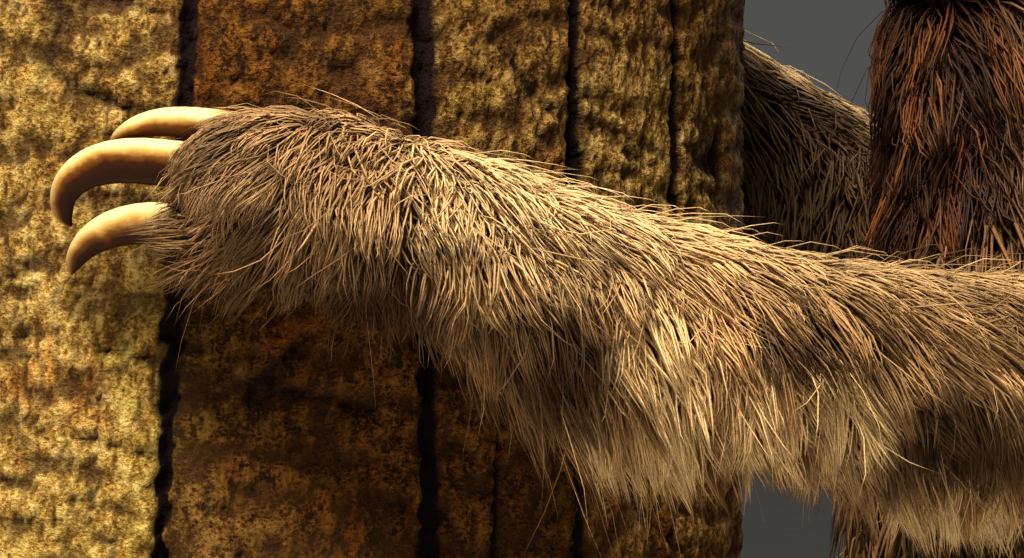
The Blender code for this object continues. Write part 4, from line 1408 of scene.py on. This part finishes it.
# %% Comb the head
def comb_head(points, wave):
    """The way of the head's hair: away from the middle and the eyes, and down at the sides."""
    local = in_head(points)
    spread = unit(local * (0.0, 1.0, 1.0) + (0.0, 0.0, 0.004))
    face = smooth_step(local[:, 0], 0.006, 0.022)[:, None]
    for sign in (-1, 1):
        beside, above, _, _ = eye_offsets(local, sign)
        close = bell(np.hypot(beside, above), 0, 0.010)[:, None]
        from_eye = unit(local - EYE_PLACE * (1, sign, 1))
        spread = spread * (1 - close) + from_eye * close
    way = (spread - (0.45, 0, 0)) @ HEAD_AXES.T * face
    return way + (DOWN - 0.45 * HEAD_AXES[:, 0] + 0.25 * wave * HEAD_AXES[:, 1]) * (1 - face)


# %% Comb the whole body
BACK = np.array((1.0, 0.0, 0.0))
LOOSE, NECK_LOOSE = 0.24, 0.34  # how far strands swing by chance


def comb(name, points, normal, along, spot):
    """The way each strand lies on the skin, of length 1 and square to the way out.

    Each strand also swings to one side, with a wave over the coat and by chance."""
    wave = ripple(points, 0.045, 21)[:, None]
    loose = LOOSE
    if name.startswith(("arm", "leg")):
        way, loose = comb_limb(name, points, normal, along, spot, wave)
    elif name == "head":
        way = comb_head(points, wave)
    elif name == "tail":
        way = along + 0.6 * DOWN
    elif name == "neck":
        way = DOWN + (0.46 + 0.34 * wave) * BACK
        loose = NECK_LOOSE
    else:
        way = DOWN + (0.32 + 0.12 * wave) * BACK
    out = (way * normal).sum(1, keepdims=True)
    flat = unit(way - out * normal)
    side = np.cross(normal, flat)
    swing = 0.35 * wave + chance.normal(0, 1, (len(points), 1)) * loose
    return unit(flat + swing * side)


# %% [markdown]
# A strand starts lifted off the skin, comes level with it towards its tip and droops. It also
# turns to one side and weaves a little. Strands that start close together turn alike, lean
# in to each other and end as one lock, which gives the coat its coarse look. No point may
# sink into the body or the trunk, only hair under the body may hang much further from it
# than the coat is deep, and the box of the solids holds the coat in, but for a small margin.

# %% Draw the spines
def find_locks(roots, size, fine):
    """The number of the lock that each strand belongs to.

    A lock is one cell of a grid over space that a slow wave has warped. Where fine is below
    1 the cells are smaller, in steps of a quarter."""
    warp = np.stack([ripple(roots, 3.1 * size, 40 + axis) for axis in range(3)], -1)
    cells = np.floor((roots / size + 0.6 * warp) / np.round(fine * 4)[:, None] * 4).astype(int)
    return np.unique(cells, axis=0, return_inverse=True)[1].ravel()


def draw_spines(roots, normal, way, length, lift, bend, crimp, droop, rings, sink):
    """Spine points from root to tip.

    The heading starts lifted off the skin and comes level. In the skin's plane it turns by
    bend, an angle that grows towards the tip, and weaves as a sine. droop draws it down."""
    side = np.cross(normal, way)
    phase = chance.uniform(0, 2 * np.pi, (len(roots), 1))
    spines = [roots - sink * normal]
    for step in range(rings):
        share = (step + 0.5) / rings
        turn = bend * share**1.2 + crimp * np.sin(5.5 * share + phase)
        level = way * np.cos(turn) + side * np.sin(turn)
        hang = droop * (0.60 * share + np.maximum(normal @ DOWN, 0)[:, None] * (0.25 + share))
        heading = level + normal * lift * (1 - share) + DOWN * hang
        spines.append(spines[-1] + unit(heading) * length / rings)
    return np.stack(spines, 1)


def lean_together(spines, lock, pull, sway):
    """Draws the spines of each lock towards their mean, most at the tips.

    Each lock as a whole also sways to one side, long strands further than short ones."""
    count = np.maximum(np.bincount(lock), 1)
    shares = np.linspace(0, 1, spines.shape[1]) ** 1.3
    swing = chance.normal(0, 1, (len(count), 3))[lock] * sway
    for index, share in enumerate(shares):
        mean = np.stack([np.bincount(lock, spines[:, index, axis]) for axis in range(3)], -1)
        mean = (mean / count[:, None])[lock] + swing * share
        spines[:, index] += (mean - spines[:, index]) * pull * share


# %% Settle the spines
BOX_MARGIN = 0.014
HANG = 0.060  # how far past the coat's own depth the hair under the body may hang
TRUNK_GAP = 0.0012
CHUNK = 12000  # strands worked out at a time, to save memory


def settle(spines, height):
    """Moves spine points to their height over the skin, and out of the trunk.

    height is 0 for the under-coat and 1 for the tips that make the outline. What reaches
    past the solids' box is drawn in, so that it ends within BOX_MARGIN of it."""
    rings = spines.shape[1] - 1
    for index in range(1, rings + 1):
        rise = (index / rings) ** 0.5
        for start in range(0, len(spines), CHUNK):
            part = spines[start : start + CHUNK, index]
            distance, out, _, _, depth, spot = body_field(part)
            high = depth * height[start : start + CHUNK] * rise
            beside = smooth_step(spot, 5.5, 6.4) * smooth_step(out[:, 2], -0.6, -0.2)
            below = smooth_step(-out[:, 2], -0.02, 0.42) * (1 - 0.9 * beside)
            low = high * (0.75 - 0.35 * index / rings)
            wanted = np.clip(distance, low, high + HANG * below)
            part += out * (wanted - distance)[:, None]
            from_axis = np.hypot(part[:, 0], part[:, 1])
            clear = np.maximum(from_axis, TRUNK_RADIUS + TRUNK_GAP) / from_axis
            part[:, :2] *= clear[:, None]
            for edge, way_out in ((cad_box[0], -1), (cad_box[1], 1)):
                beyond = np.maximum((part - np.array(edge)) * way_out, 0)
                part += way_out * (BOX_MARGIN * (1 - np.exp(-beyond / BOX_MARGIN)) - beyond)


# %% [markdown]
# Each ring of a blade is a low triangle: two corners across and one that stands out from the
# skin, so that smooth shading rounds it. Its colour is dark at the root, which is painted
# shade deep in the coat, and bleached at the tip. The blade's patch in the map for baking is a
# tiny square at its root's place, on an unwrap of its part of the skin: along the part one
# way, and round it the other.

# %% Build the blades
TAPER = ((0, 0.3, 0.7, 1), (0.65, 1, 0.72, 0))  # places along a blade, and its width there
OVAL = (1.15, 0.62)  # the oval's half width and half height, as shares of the half width
CORNERS = np.radians((90, 210, 330))
PATCH = 0.003  # a blade's patch, as a share of the map


def blades(spines, width, facing):
    """Points and faces of a closed blade round each spine.

    At each ring the side is the way out crossed with the heading. The three corners stand
    at 90, 210 and 330 degrees of a low oval. The last ring is a single point."""
    count, rings = spines.shape[0], spines.shape[1] - 1
    heading = unit(np.gradient(spines, axis=1))[:, :rings]
    out = unit(facing[:, None] - (facing[:, None] * heading).sum(-1, keepdims=True) * heading)
    side = np.cross(out, heading)
    taper = np.interp(np.linspace(0, 1, rings + 1)[:rings], *TAPER)
    half = width[:, None, None] * taper[None, :, None] / 2
    corners = [np.cos(turn) * side * OVAL[0] + np.sin(turn) * out * OVAL[1] for turn in CORNERS]
    ring = np.stack(corners, 2)
    points = spines[:, :rings, None] + ring * half[..., None]
    points = np.concatenate([points.reshape(count, -1, 3), spines[:, rings:]], 1)
    size = 3 * rings + 1
    corner = np.arange(3)
    after = (corner + 1) % 3
    low = np.arange(rings - 1)[:, None] * 3
    quads = np.stack([low + corner, low + after, low + 3 + after, low + 3 + corner], -1)
    quads = quads.reshape(-1, 4)
    top = 3 * (rings - 1)
    ends = np.stack([top + corner, top + after, np.full(3, 3 * rings)], -1)
    ends = np.concatenate([ends, [[2, 1, 0]]])
    first = np.arange(count)[:, None, None] * size
    faces = [(first + quads).reshape(-1, 4), (first + ends).reshape(-1, 3)]
    return points.reshape(-1, 3), faces


# %% Map the blades for baking
def patch_map(place_on_map, rings):
    """The OFBake map: for each blade point, the root's place plus a step across and along."""
    across = np.append(np.tile((0.5, 0.0, 1.0), rings), 0.5)
    along = np.append(np.repeat(np.arange(rings) / rings, 3), 1.0)
    step = np.stack([across, along], -1) * PATCH
    return (place_on_map[:, None] * (1 - PATCH) + step).reshape(-1, 2)


def unwrap(name, points, along, spot):
    """The place of skin points on a flat map of their own part, from 0 to 1 both ways.

    One way is how far along the part's line they lie, the other the angle round it."""
    if name == "head":
        local = in_head(points)
        turn = np.arctan2(local[:, 1], local[:, 0]) / (2 * np.pi) + 0.5
        lift = np.arcsin(unit(local)[:, 2]) / np.pi + 0.5
        return np.stack([turn, lift], -1)
    line = LINES[name]
    axis = np.stack([np.interp(spot, line["places"], line["points"][:, k]) for k in range(3)], -1)
    side = unit(np.cross(along, (0.30, 0.10, 0.95)))
    away = points - axis
    turn = np.arctan2((away * np.cross(side, along)).sum(1), (away * side).sum(1))
    turn = turn / (2 * np.pi) + 0.5
    low, high = spot.min(), spot.max()
    return np.stack([(spot - low) / max(high - low, 1e-6), turn], -1)


# %% [markdown]
# The hair's finish is one material for all. Each point brings its own colour, so the finish
# adds only fine flecks and the dull gloss of dry hair.

# %% Finish the hair
hair = new_finish("hair", Roughness=0.60, Specular_IOR_Level=0.12)
flecks = noise(hair, place(hair), 1300, 2, 0.5)
hair_tone = stored(hair, "tone", "Color")
flecked = span(hair, flecks, 0.35, 0.7)
join(hair, mixed(hair, flecked, hair_tone, (0.66, 0.60, 0.54), "MULTIPLY"), "Base Color")
join(hair, bump(hair, flecks, 0.25, 0.0003), "Normal")
print("nodes in the hair:", len(hair.node_tree.nodes))

# %% [markdown]
# Each part of the body has its own kind of hair: how many strands, how long and how wide, how
# far they stand off and how large a lock is. The face has the finest, and a paw's hair is
# shorter and thinner than its limb's.

# %% Kinds of hair
# Strands, length, width, lift at the root, lock size, pull into locks, rings, pieces.
COATS = {
    "arm_left": (25600, 0.034, 0.00100, 0.70, 0.0080, 0.72, 4, 3),
    "arm_right": (7800, 0.036, 0.00135, 0.62, 0.0100, 0.64, 3, 1),
    "leg_left": (8000, 0.036, 0.00145, 0.62, 0.0110, 0.64, 3, 1),
    "leg_right": (8000, 0.036, 0.00145, 0.62, 0.0110, 0.64, 3, 1),
    "torso": (14300, 0.054, 0.00200, 0.68, 0.0150, 0.66, 3, 2),
    "neck": (5600, 0.050, 0.00110, 0.74, 0.0120, 0.80, 4, 1),
    "tail": (700, 0.028, 0.00160, 0.60, 0.0100, 0.50, 3, 1),
    "head": (7000, 0.027, 0.00095, 0.62, 0.0080, 0.55, 3, 1),
    "face": (12800, 0.0064, 0.00052, 0.50, 0.0030, 0.30, 2, 1),
}
FACE_EDGE = 0.011  # forward of the head's centre the hair is short
print("strands wanted:", sum(kind[0] for kind in COATS.values()))

# %% Size the limbs' hair
PAW_SHARES = {"arm": (0.36, 0.28), "leg": (0.52, 0.46)}  # how much shorter, how much thinner
LONG_HAIRS = 0.10  # share of long hairs in the thin fringe at the left wrist


def size_limb_hair(name, spot, under, length, width, lift, droop, fine):
    """Changes a limb's shares in place: smaller on the paw, and standing off at the whorl."""
    paw = smooth_step(spot, 4.4, 5.3)
    shorter, thinner = PAW_SHARES[name[:3]]
    length *= (1 - shorter * paw) * (1 - 0.55 * smooth_step(spot, 5.6, 6.4))
    length *= 1 - 0.25 * under * bell(spot, ELBOW, 0.5)
    width *= 1 - thinner * paw
    if name.startswith("leg"):
        fine *= 1 - 0.5 * paw
    lift *= 1 + 0.45 * bell(spot, 4.0, 0.6)
    droop *= 1 - 0.65 * smooth_step(spot, 4.7, 5.6)


def size_left_arm_hair(spot, normal, under, length, width):
    """Changes the left arm's shares in place.

    The fringe is full along the forearm and thin, with a few long hairs, at the wrist. On
    the hand the hair grows long above and below, towards the claws."""
    full = smooth_step(spot, 2.2, 2.7) * smooth_step(spot, 3.7, 3.3)
    wrist = smooth_step(spot, 3.5, 3.8) * smooth_step(spot, 4.9, 4.6)
    long = chance.random(len(spot)) < LONG_HAIRS
    length *= 1 + 0.42 * under * full
    length *= 1 + 0.9 * smooth_step(-normal[:, 2], 0.0, 0.8) * smooth_step(spot, 5.0, 5.6)
    length *= 1 + 1.1 * smooth_step(normal[:, 2], 0.0, 0.8) * smooth_step(spot, 5.0, 5.8)
    length *= 1 + under * wrist * np.where(long, 0.25, -0.50)
    width *= 1 - under * wrist * np.where(long, 0.45, 0.0)


# %% Size the head's hair
def size_head_hair(local, length, width):
    """Changes the head's shares in place: longer at the throat and step by step to the back."""
    away = smooth_step(FACE_EDGE - local[:, 0], -0.004, 0.018)
    length *= 1 + 0.40 * smooth_step(-local[:, 2], 0.010, 0.030)
    length *= 0.42 + 0.58 * away
    width *= 0.60 + 0.40 * away


def size_face_hair(local, length, width):
    """Changes the face's shares in place: smaller by the eyes and nose, longer at its edge."""
    eye_places = [EYE_PLACE * (1, sign, 1) for sign in (-1, 1)]
    from_eye = np.minimum(*(np.linalg.norm(local - place, axis=1) for place in eye_places))
    small = 1 - 0.35 * smooth_step(local[:, 0], 0.034, 0.046)
    edge = smooth_step(local[:, 0], FACE_EDGE + 0.014, FACE_EDGE - 0.002)
    length *= small * (0.6 + 0.4 * smooth_step(from_eye, 0.006, 0.016))
    length *= 1 + 0.9 * edge
    width *= small * (1 + 0.3 * edge)


# %% Size all hair
def hair_size(name, points, normal, spot):
    """Shares of the part's length, width, lift, droop and lock size at each root."""
    count = len(points)
    length, width, lift, droop, fine = np.ones((5, count))
    under = smooth_step(-normal[:, 2], 0.0, 0.6)
    if name.startswith(("arm", "leg")):
        size_limb_hair(name, spot, under, length, width, lift, droop, fine)
    if name == "arm_left":
        size_left_arm_hair(spot, normal, under, length, width)
    elif name == "head":
        size_head_hair(in_head(points), length, width)
    elif name == "face":
        size_face_hair(in_head(points), length, width)
    elif name == "neck":
        lift *= 1 - 0.55 * smooth_step(spot, 2.4, 3.4)
        lift *= 1 + 0.7 * smooth_step(-normal[:, 0], 0.3, 0.9)
    length *= chance.uniform(0.60, 1.15, count)
    width *= chance.uniform(0.65, 1.25, count)
    return length, width, lift, droop, fine


# %% Choose where hair grows
SPARE = 1.7  # roots strewn for each one wanted, because some land where no hair grows
triangle_line = nearest[skin_triangles[:, 0]]


def grows(name, points):
    """True where this kind of hair grows: not on the lids or nose, nor inside another part.

    Where the face's short hair meets the head's long hair the edge is ragged."""
    if name not in ("head", "face"):
        return head_distance(in_head(points)) > 0.001
    local = in_head(points)
    edge = FACE_EDGE + chance.normal(0, 0.0045, len(points))
    if name == "head":
        return (local[:, 0] < edge) & (nearest_on_line(points, LINES["neck"])[0] > 0.001)
    offset = (local - NOSE_PLACE) / (NOSE_RADII + 0.0006)
    free = (local[:, 0] > edge) & (np.hypot(offset[:, 1], offset[:, 2]) > 1.0)
    for sign in (-1, 1):
        beside, above, _, _ = eye_offsets(local, sign)
        free &= (lid_ring(beside, above) > 1.45) | (local[:, 1] * sign < 0)
    return free


def root_strands(name, part, count):
    """Roots on one part's skin where its hair grows, with the way out of the skin."""
    own = skin_triangles[triangle_line == NAMES.index(part)]
    if name == "face":
        own = own[in_head(skin_points[own[:, 0]])[:, 0] > 0]
    roots, normal = strew(own, int(count * SPARE))
    keep = grows(name, roots)
    return roots[keep][:count], normal[keep][:count]


# %% [markdown]
# No two locks and no two strands are the same. Each lock has its own height, length and bend,
# and each strand differs a little from its lock. A few strands stray: they are longer and
# thinner, stand further off and bend as they like. The neck's locks are tall and wavy.

# %% Vary the strands
# Share of strands that stray, the tallest lock's height, and how much a strand weaves.
USUAL_MANNER = (0.04, 1.20, 0.20)
MANNERS = {"neck": (0.005, 1.55, 0.55), "head": (0, 1.20, 0.20), "face": (0, 1.20, 0.20)}
STAND_OUT = 0.9  # how much further bright locks stand off
STRAY_LENGTH, STRAY_WIDTH, STRAY_LIFT, STRAY_HEIGHT = 1.25, 0.5, 1.5, 1.35


def vary(name, roots, lengths, widths, lifts, lock):
    """Each strand's length, width, lift, height and bend, and whether it strays.

    Each is a draw for its lock, with a draw for the strand itself. The height is 0 for the
    under-coat and 1 for the tips that make the outline."""
    stray_share, tallest, _ = MANNERS.get(name, USUAL_MANNER)
    locks = lock.max() + 1
    lock_height = chance.uniform(0.55, tallest, locks)
    lock_bend = chance.normal(0, 0.45, locks)
    height = chance.uniform(0.35, 1.0, len(roots)) * lock_height[lock]
    lengths = lengths * chance.uniform(0.74, 1.22, locks)[lock]
    bright = bright_share(roots) * (name == "arm_left")
    height = height + STAND_OUT * bright
    lifts = lifts * (1 + STAND_OUT * bright)
    stray = (chance.random(len(roots)) < stray_share) & (lengths > 0.55)
    lengths = np.where(stray, lengths * STRAY_LENGTH, lengths)
    widths = np.where(stray, widths * STRAY_WIDTH, widths)
    lifts = np.where(stray, lifts * STRAY_LIFT, lifts)
    height = np.where(stray, STRAY_HEIGHT, height)
    bend = lock_bend[lock] + chance.normal(0, 1, len(roots)) * np.where(stray, 1.0, 0.30)
    return lengths, widths, lifts, height, bend, stray


# %% Colour the strands
PALEST = 0.92  # no colour is brighter than this in its strongest channel
STRAND_TONE, LOCK_TONE = 0.12, 0.26  # how much strands and locks differ in brightness
BLEACHED = 0.14  # share of strands that the sun has bleached
# The dark roots are painted shade deep in the coat; the bright tips are bleached.
FADE = ((0, 0.3, 0.6, 1), (0.36, 0.72, 1.0, 1.04))  # places along a strand, and brightness
FACE_FADE = (0.75, 0.95)
TIP_BRIGHTNESS = 1.06


def strand_colours(name, part, points, spot, lock, height, rings):
    """A colour for each point of each blade: the coat's own, brighter towards the tip.

    Strands deep in the coat and the roots are darker with painted shade. Each lock and each
    strand has a tone of its own."""
    count = len(spot)
    tone = coat_colour(points, np.full(count, NAMES.index(part)), spot)
    tone = tone * np.exp(chance.normal(0, STRAND_TONE, (count, 1)))
    tone = tone * np.exp(chance.normal(0, LOCK_TONE, (lock.max() + 1, 1)))[lock]
    # Painted shade: strands low in the coat are darker, and those that stand out are brighter.
    tone = tone * (0.62 + 0.50 * np.clip(height, 0, 1))[:, None]
    bleached = (chance.random(count) < BLEACHED) & (name != "face")
    tone = np.where(bleached[:, None], tone * 1.16 + 0.008, tone)
    fade = FACE_FADE if name == "face" else np.interp(np.arange(rings) / rings, *FADE)
    fade = np.append(np.repeat(fade, 3), TIP_BRIGHTNESS)
    colours = tone[:, None] * fade[None, :, None]
    return colours * np.minimum(1, PALEST / colours.max(-1, keepdims=True))


# %% Make the coat's pieces
def add_coat(name, spines, widths, normal, colours, map_place, pieces):
    """Parts the strands into pieces along the body part, and puts each into a mesh."""
    order = np.argsort(map_place[:, 0], kind="stable")
    for number, members in enumerate(np.array_split(order, pieces), start=1):
        points, faces = blades(spines[members], widths[members], normal[members])
        across, along = map_place[members].T
        across = (across - across.min()) / (across.max() - across.min())
        patches = patch_map(np.stack([across, along], -1), spines.shape[1] - 1)
        tone = {"tone": colours[members].reshape(-1, 3)}
        coat = put_mesh(f"coat_{name}_{number}", points, faces, hair, tone, patches)
        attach(coat, "root")


# %% Grow the coat
HEAD_SINK, BODY_SINK = 0.0003, 0.0008  # how deep the roots stand in the skin
LOCK_SWAY = 0.10  # how far a lock sways, as a share of its length


def grow(name, count, length, width, lift, lock_size, pull, rings, pieces):
    """One kind of hair, from its roots to its pieces: the number of strands and triangles."""
    part = "head" if name == "face" else name
    roots, normal = root_strands(name, part, count)
    own_line = nearest_on_head(roots) if part == "head" else nearest_on_line(roots, LINES[part])
    along, spot = own_line[2], own_line[4]
    way = comb(part, roots, normal, along, spot)
    lengths, widths, lifts, droops, fine = hair_size(name, roots, normal, spot)
    lock = find_locks(roots, lock_size, fine)
    lengths, widths, lifts, height, bend, stray = vary(name, roots, lengths, widths, lifts, lock)
    spines = draw_spines(
        roots,
        normal,
        way,
        (length * lengths)[:, None],
        (lift * lifts)[:, None],
        bend[:, None],
        MANNERS.get(name, USUAL_MANNER)[2],
        droops[:, None],
        rings,
        HEAD_SINK if part == "head" else BODY_SINK,
    )
    together = np.where(stray, 0.0, pull * np.minimum(0.4 + 0.6 * lengths, 1))
    sway = LOCK_SWAY * length * np.minimum(lengths, 1)
    lean_together(spines, lock, together[:, None], sway[:, None])
    if part != "head":
        settle(spines, height)
    coloured_at = roots if part == "head" else spines[:, rings // 2]
    colours = strand_colours(name, part, coloured_at, spot, lock, height, rings)
    map_place = unwrap(part, roots, along, spot)
    add_coat(name, spines, width * widths, normal, colours, map_place, pieces)
    return len(roots), len(roots) * (rings * 6 - 2)


totals = np.sum([grow(name, *kind) for name, kind in COATS.items()], axis=0)
print("strands:", totals[0], "triangles:", totals[1])

# %% [markdown]
# ## The stand
#
# The board is planed and its rods are turned, so their solids are right as they are. They
# only need a finish: dark stained wood with a fine grain along the board, and steel with
# faint rings from the lathe.

# %% Finish the stand
board = new_finish(
    "stand_board", Roughness=0.42, Specular_IOR_Level=0.45, Coat_Weight=0.25, Coat_Roughness=0.25
)
fibre = noise(board, place(board, (0.06, 1, 1)), 190, 6, 0.6)
figure = noise(board, place(board, (0.10, 1, 1)), 22, 4, 0.5)
stain = ramp(
    board,
    blended(board, fibre, 0.55, figure),
    [(0.36, (0.018, 0.010, 0.006)), (0.52, (0.050, 0.027, 0.014)), (0.66, (0.095, 0.052, 0.026))],
)
join(board, stain, "Base Color")
join(board, bump(board, fibre, 0.18, 0.0006), "Normal")

steel = new_finish("stand_steel", Metallic=1.0, Roughness=0.30)
turning = noise(steel, place(steel, (0.2, 0.2, 12)), 160, 4)
bands = ramp(steel, turning, [(0.3, (0.42, 0.42, 0.43)), (0.7, (0.66, 0.66, 0.68))])
join(steel, bands, "Base Color")
join(steel, bump(steel, turning, 0.10, 0.0002), "Normal")

for name, made in (("stand_base", board), ("stand_rod_1", steel), ("stand_rod_2", steel)):
    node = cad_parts[name]
    node.data.materials.clear()
    node.data.materials.append(made)
    print(name, "is finished as", made.name)

# %% [markdown]
# ## Floor and light
#
# A wide pale floor and a pale surround keep the eye on the model. A warm lamp high in front,
# a little to the left, lights the tops of the arm and the claws and leaves their undersides
# dark. A weak lamp fills from the right, and one behind draws a rim of light on the coat.

# %% Lay the floor
bpy.ops.mesh.primitive_plane_add(size=60)
floor = bpy.context.active_object
floor.name = "floor"
pale = new_finish("floor", Roughness=0.8)
cloudy = noise(pale, place(pale), 3.0, 3)
join(pale, ramp(pale, cloudy, [(0.3, (0.50, 0.48, 0.45)), (0.7, (0.54, 0.52, 0.49))]), "Base Color")
floor.data.materials.append(pale)
print("floor:", round(floor.dimensions.x), "metres wide")


# %% Hang the lamps
def add_lamp(name, spot, size, power, colour):
    """A square lamp that faces the middle of the model."""
    data = bpy.data.lights.new(name, "AREA")
    data.size = size
    data.energy = power
    data.color = colour
    lamp = bpy.data.objects.new(name, data)
    lamp.location = spot
    lamp.rotation_euler = (MIDDLE - Vector(spot)).to_track_quat("-Z", "Y").to_euler()
    bpy.context.scene.collection.objects.link(lamp)


# Each lamp's place, size in metres, power in watts and colour.
MIDDLE = Vector((0.12, -0.10, 0.60))
LAMPS = {
    "key": ((-0.35, -1.42, 2.98), 0.95, 218, (1.0, 0.92, 0.79)),
    "fill": ((2.2, -1.2, 2.2), 1.8, 8, (0.98, 0.97, 0.95)),
    "rim": ((1.0, 1.9, 2.3), 1.2, 36, (1.0, 0.96, 0.90)),
}
for name, values in LAMPS.items():
    add_lamp(name, *values)

world = bpy.data.worlds.new("surround")
world.use_nodes = True
glow = world.node_tree.nodes["Background"].inputs
glow["Color"].default_value = (0.90, 0.89, 0.86, 1)
glow["Strength"].default_value = 0.09
bpy.context.scene.world = world
bpy.context.scene.view_settings.view_transform = "Standard"
print("lamps:", ", ".join(LAMPS))
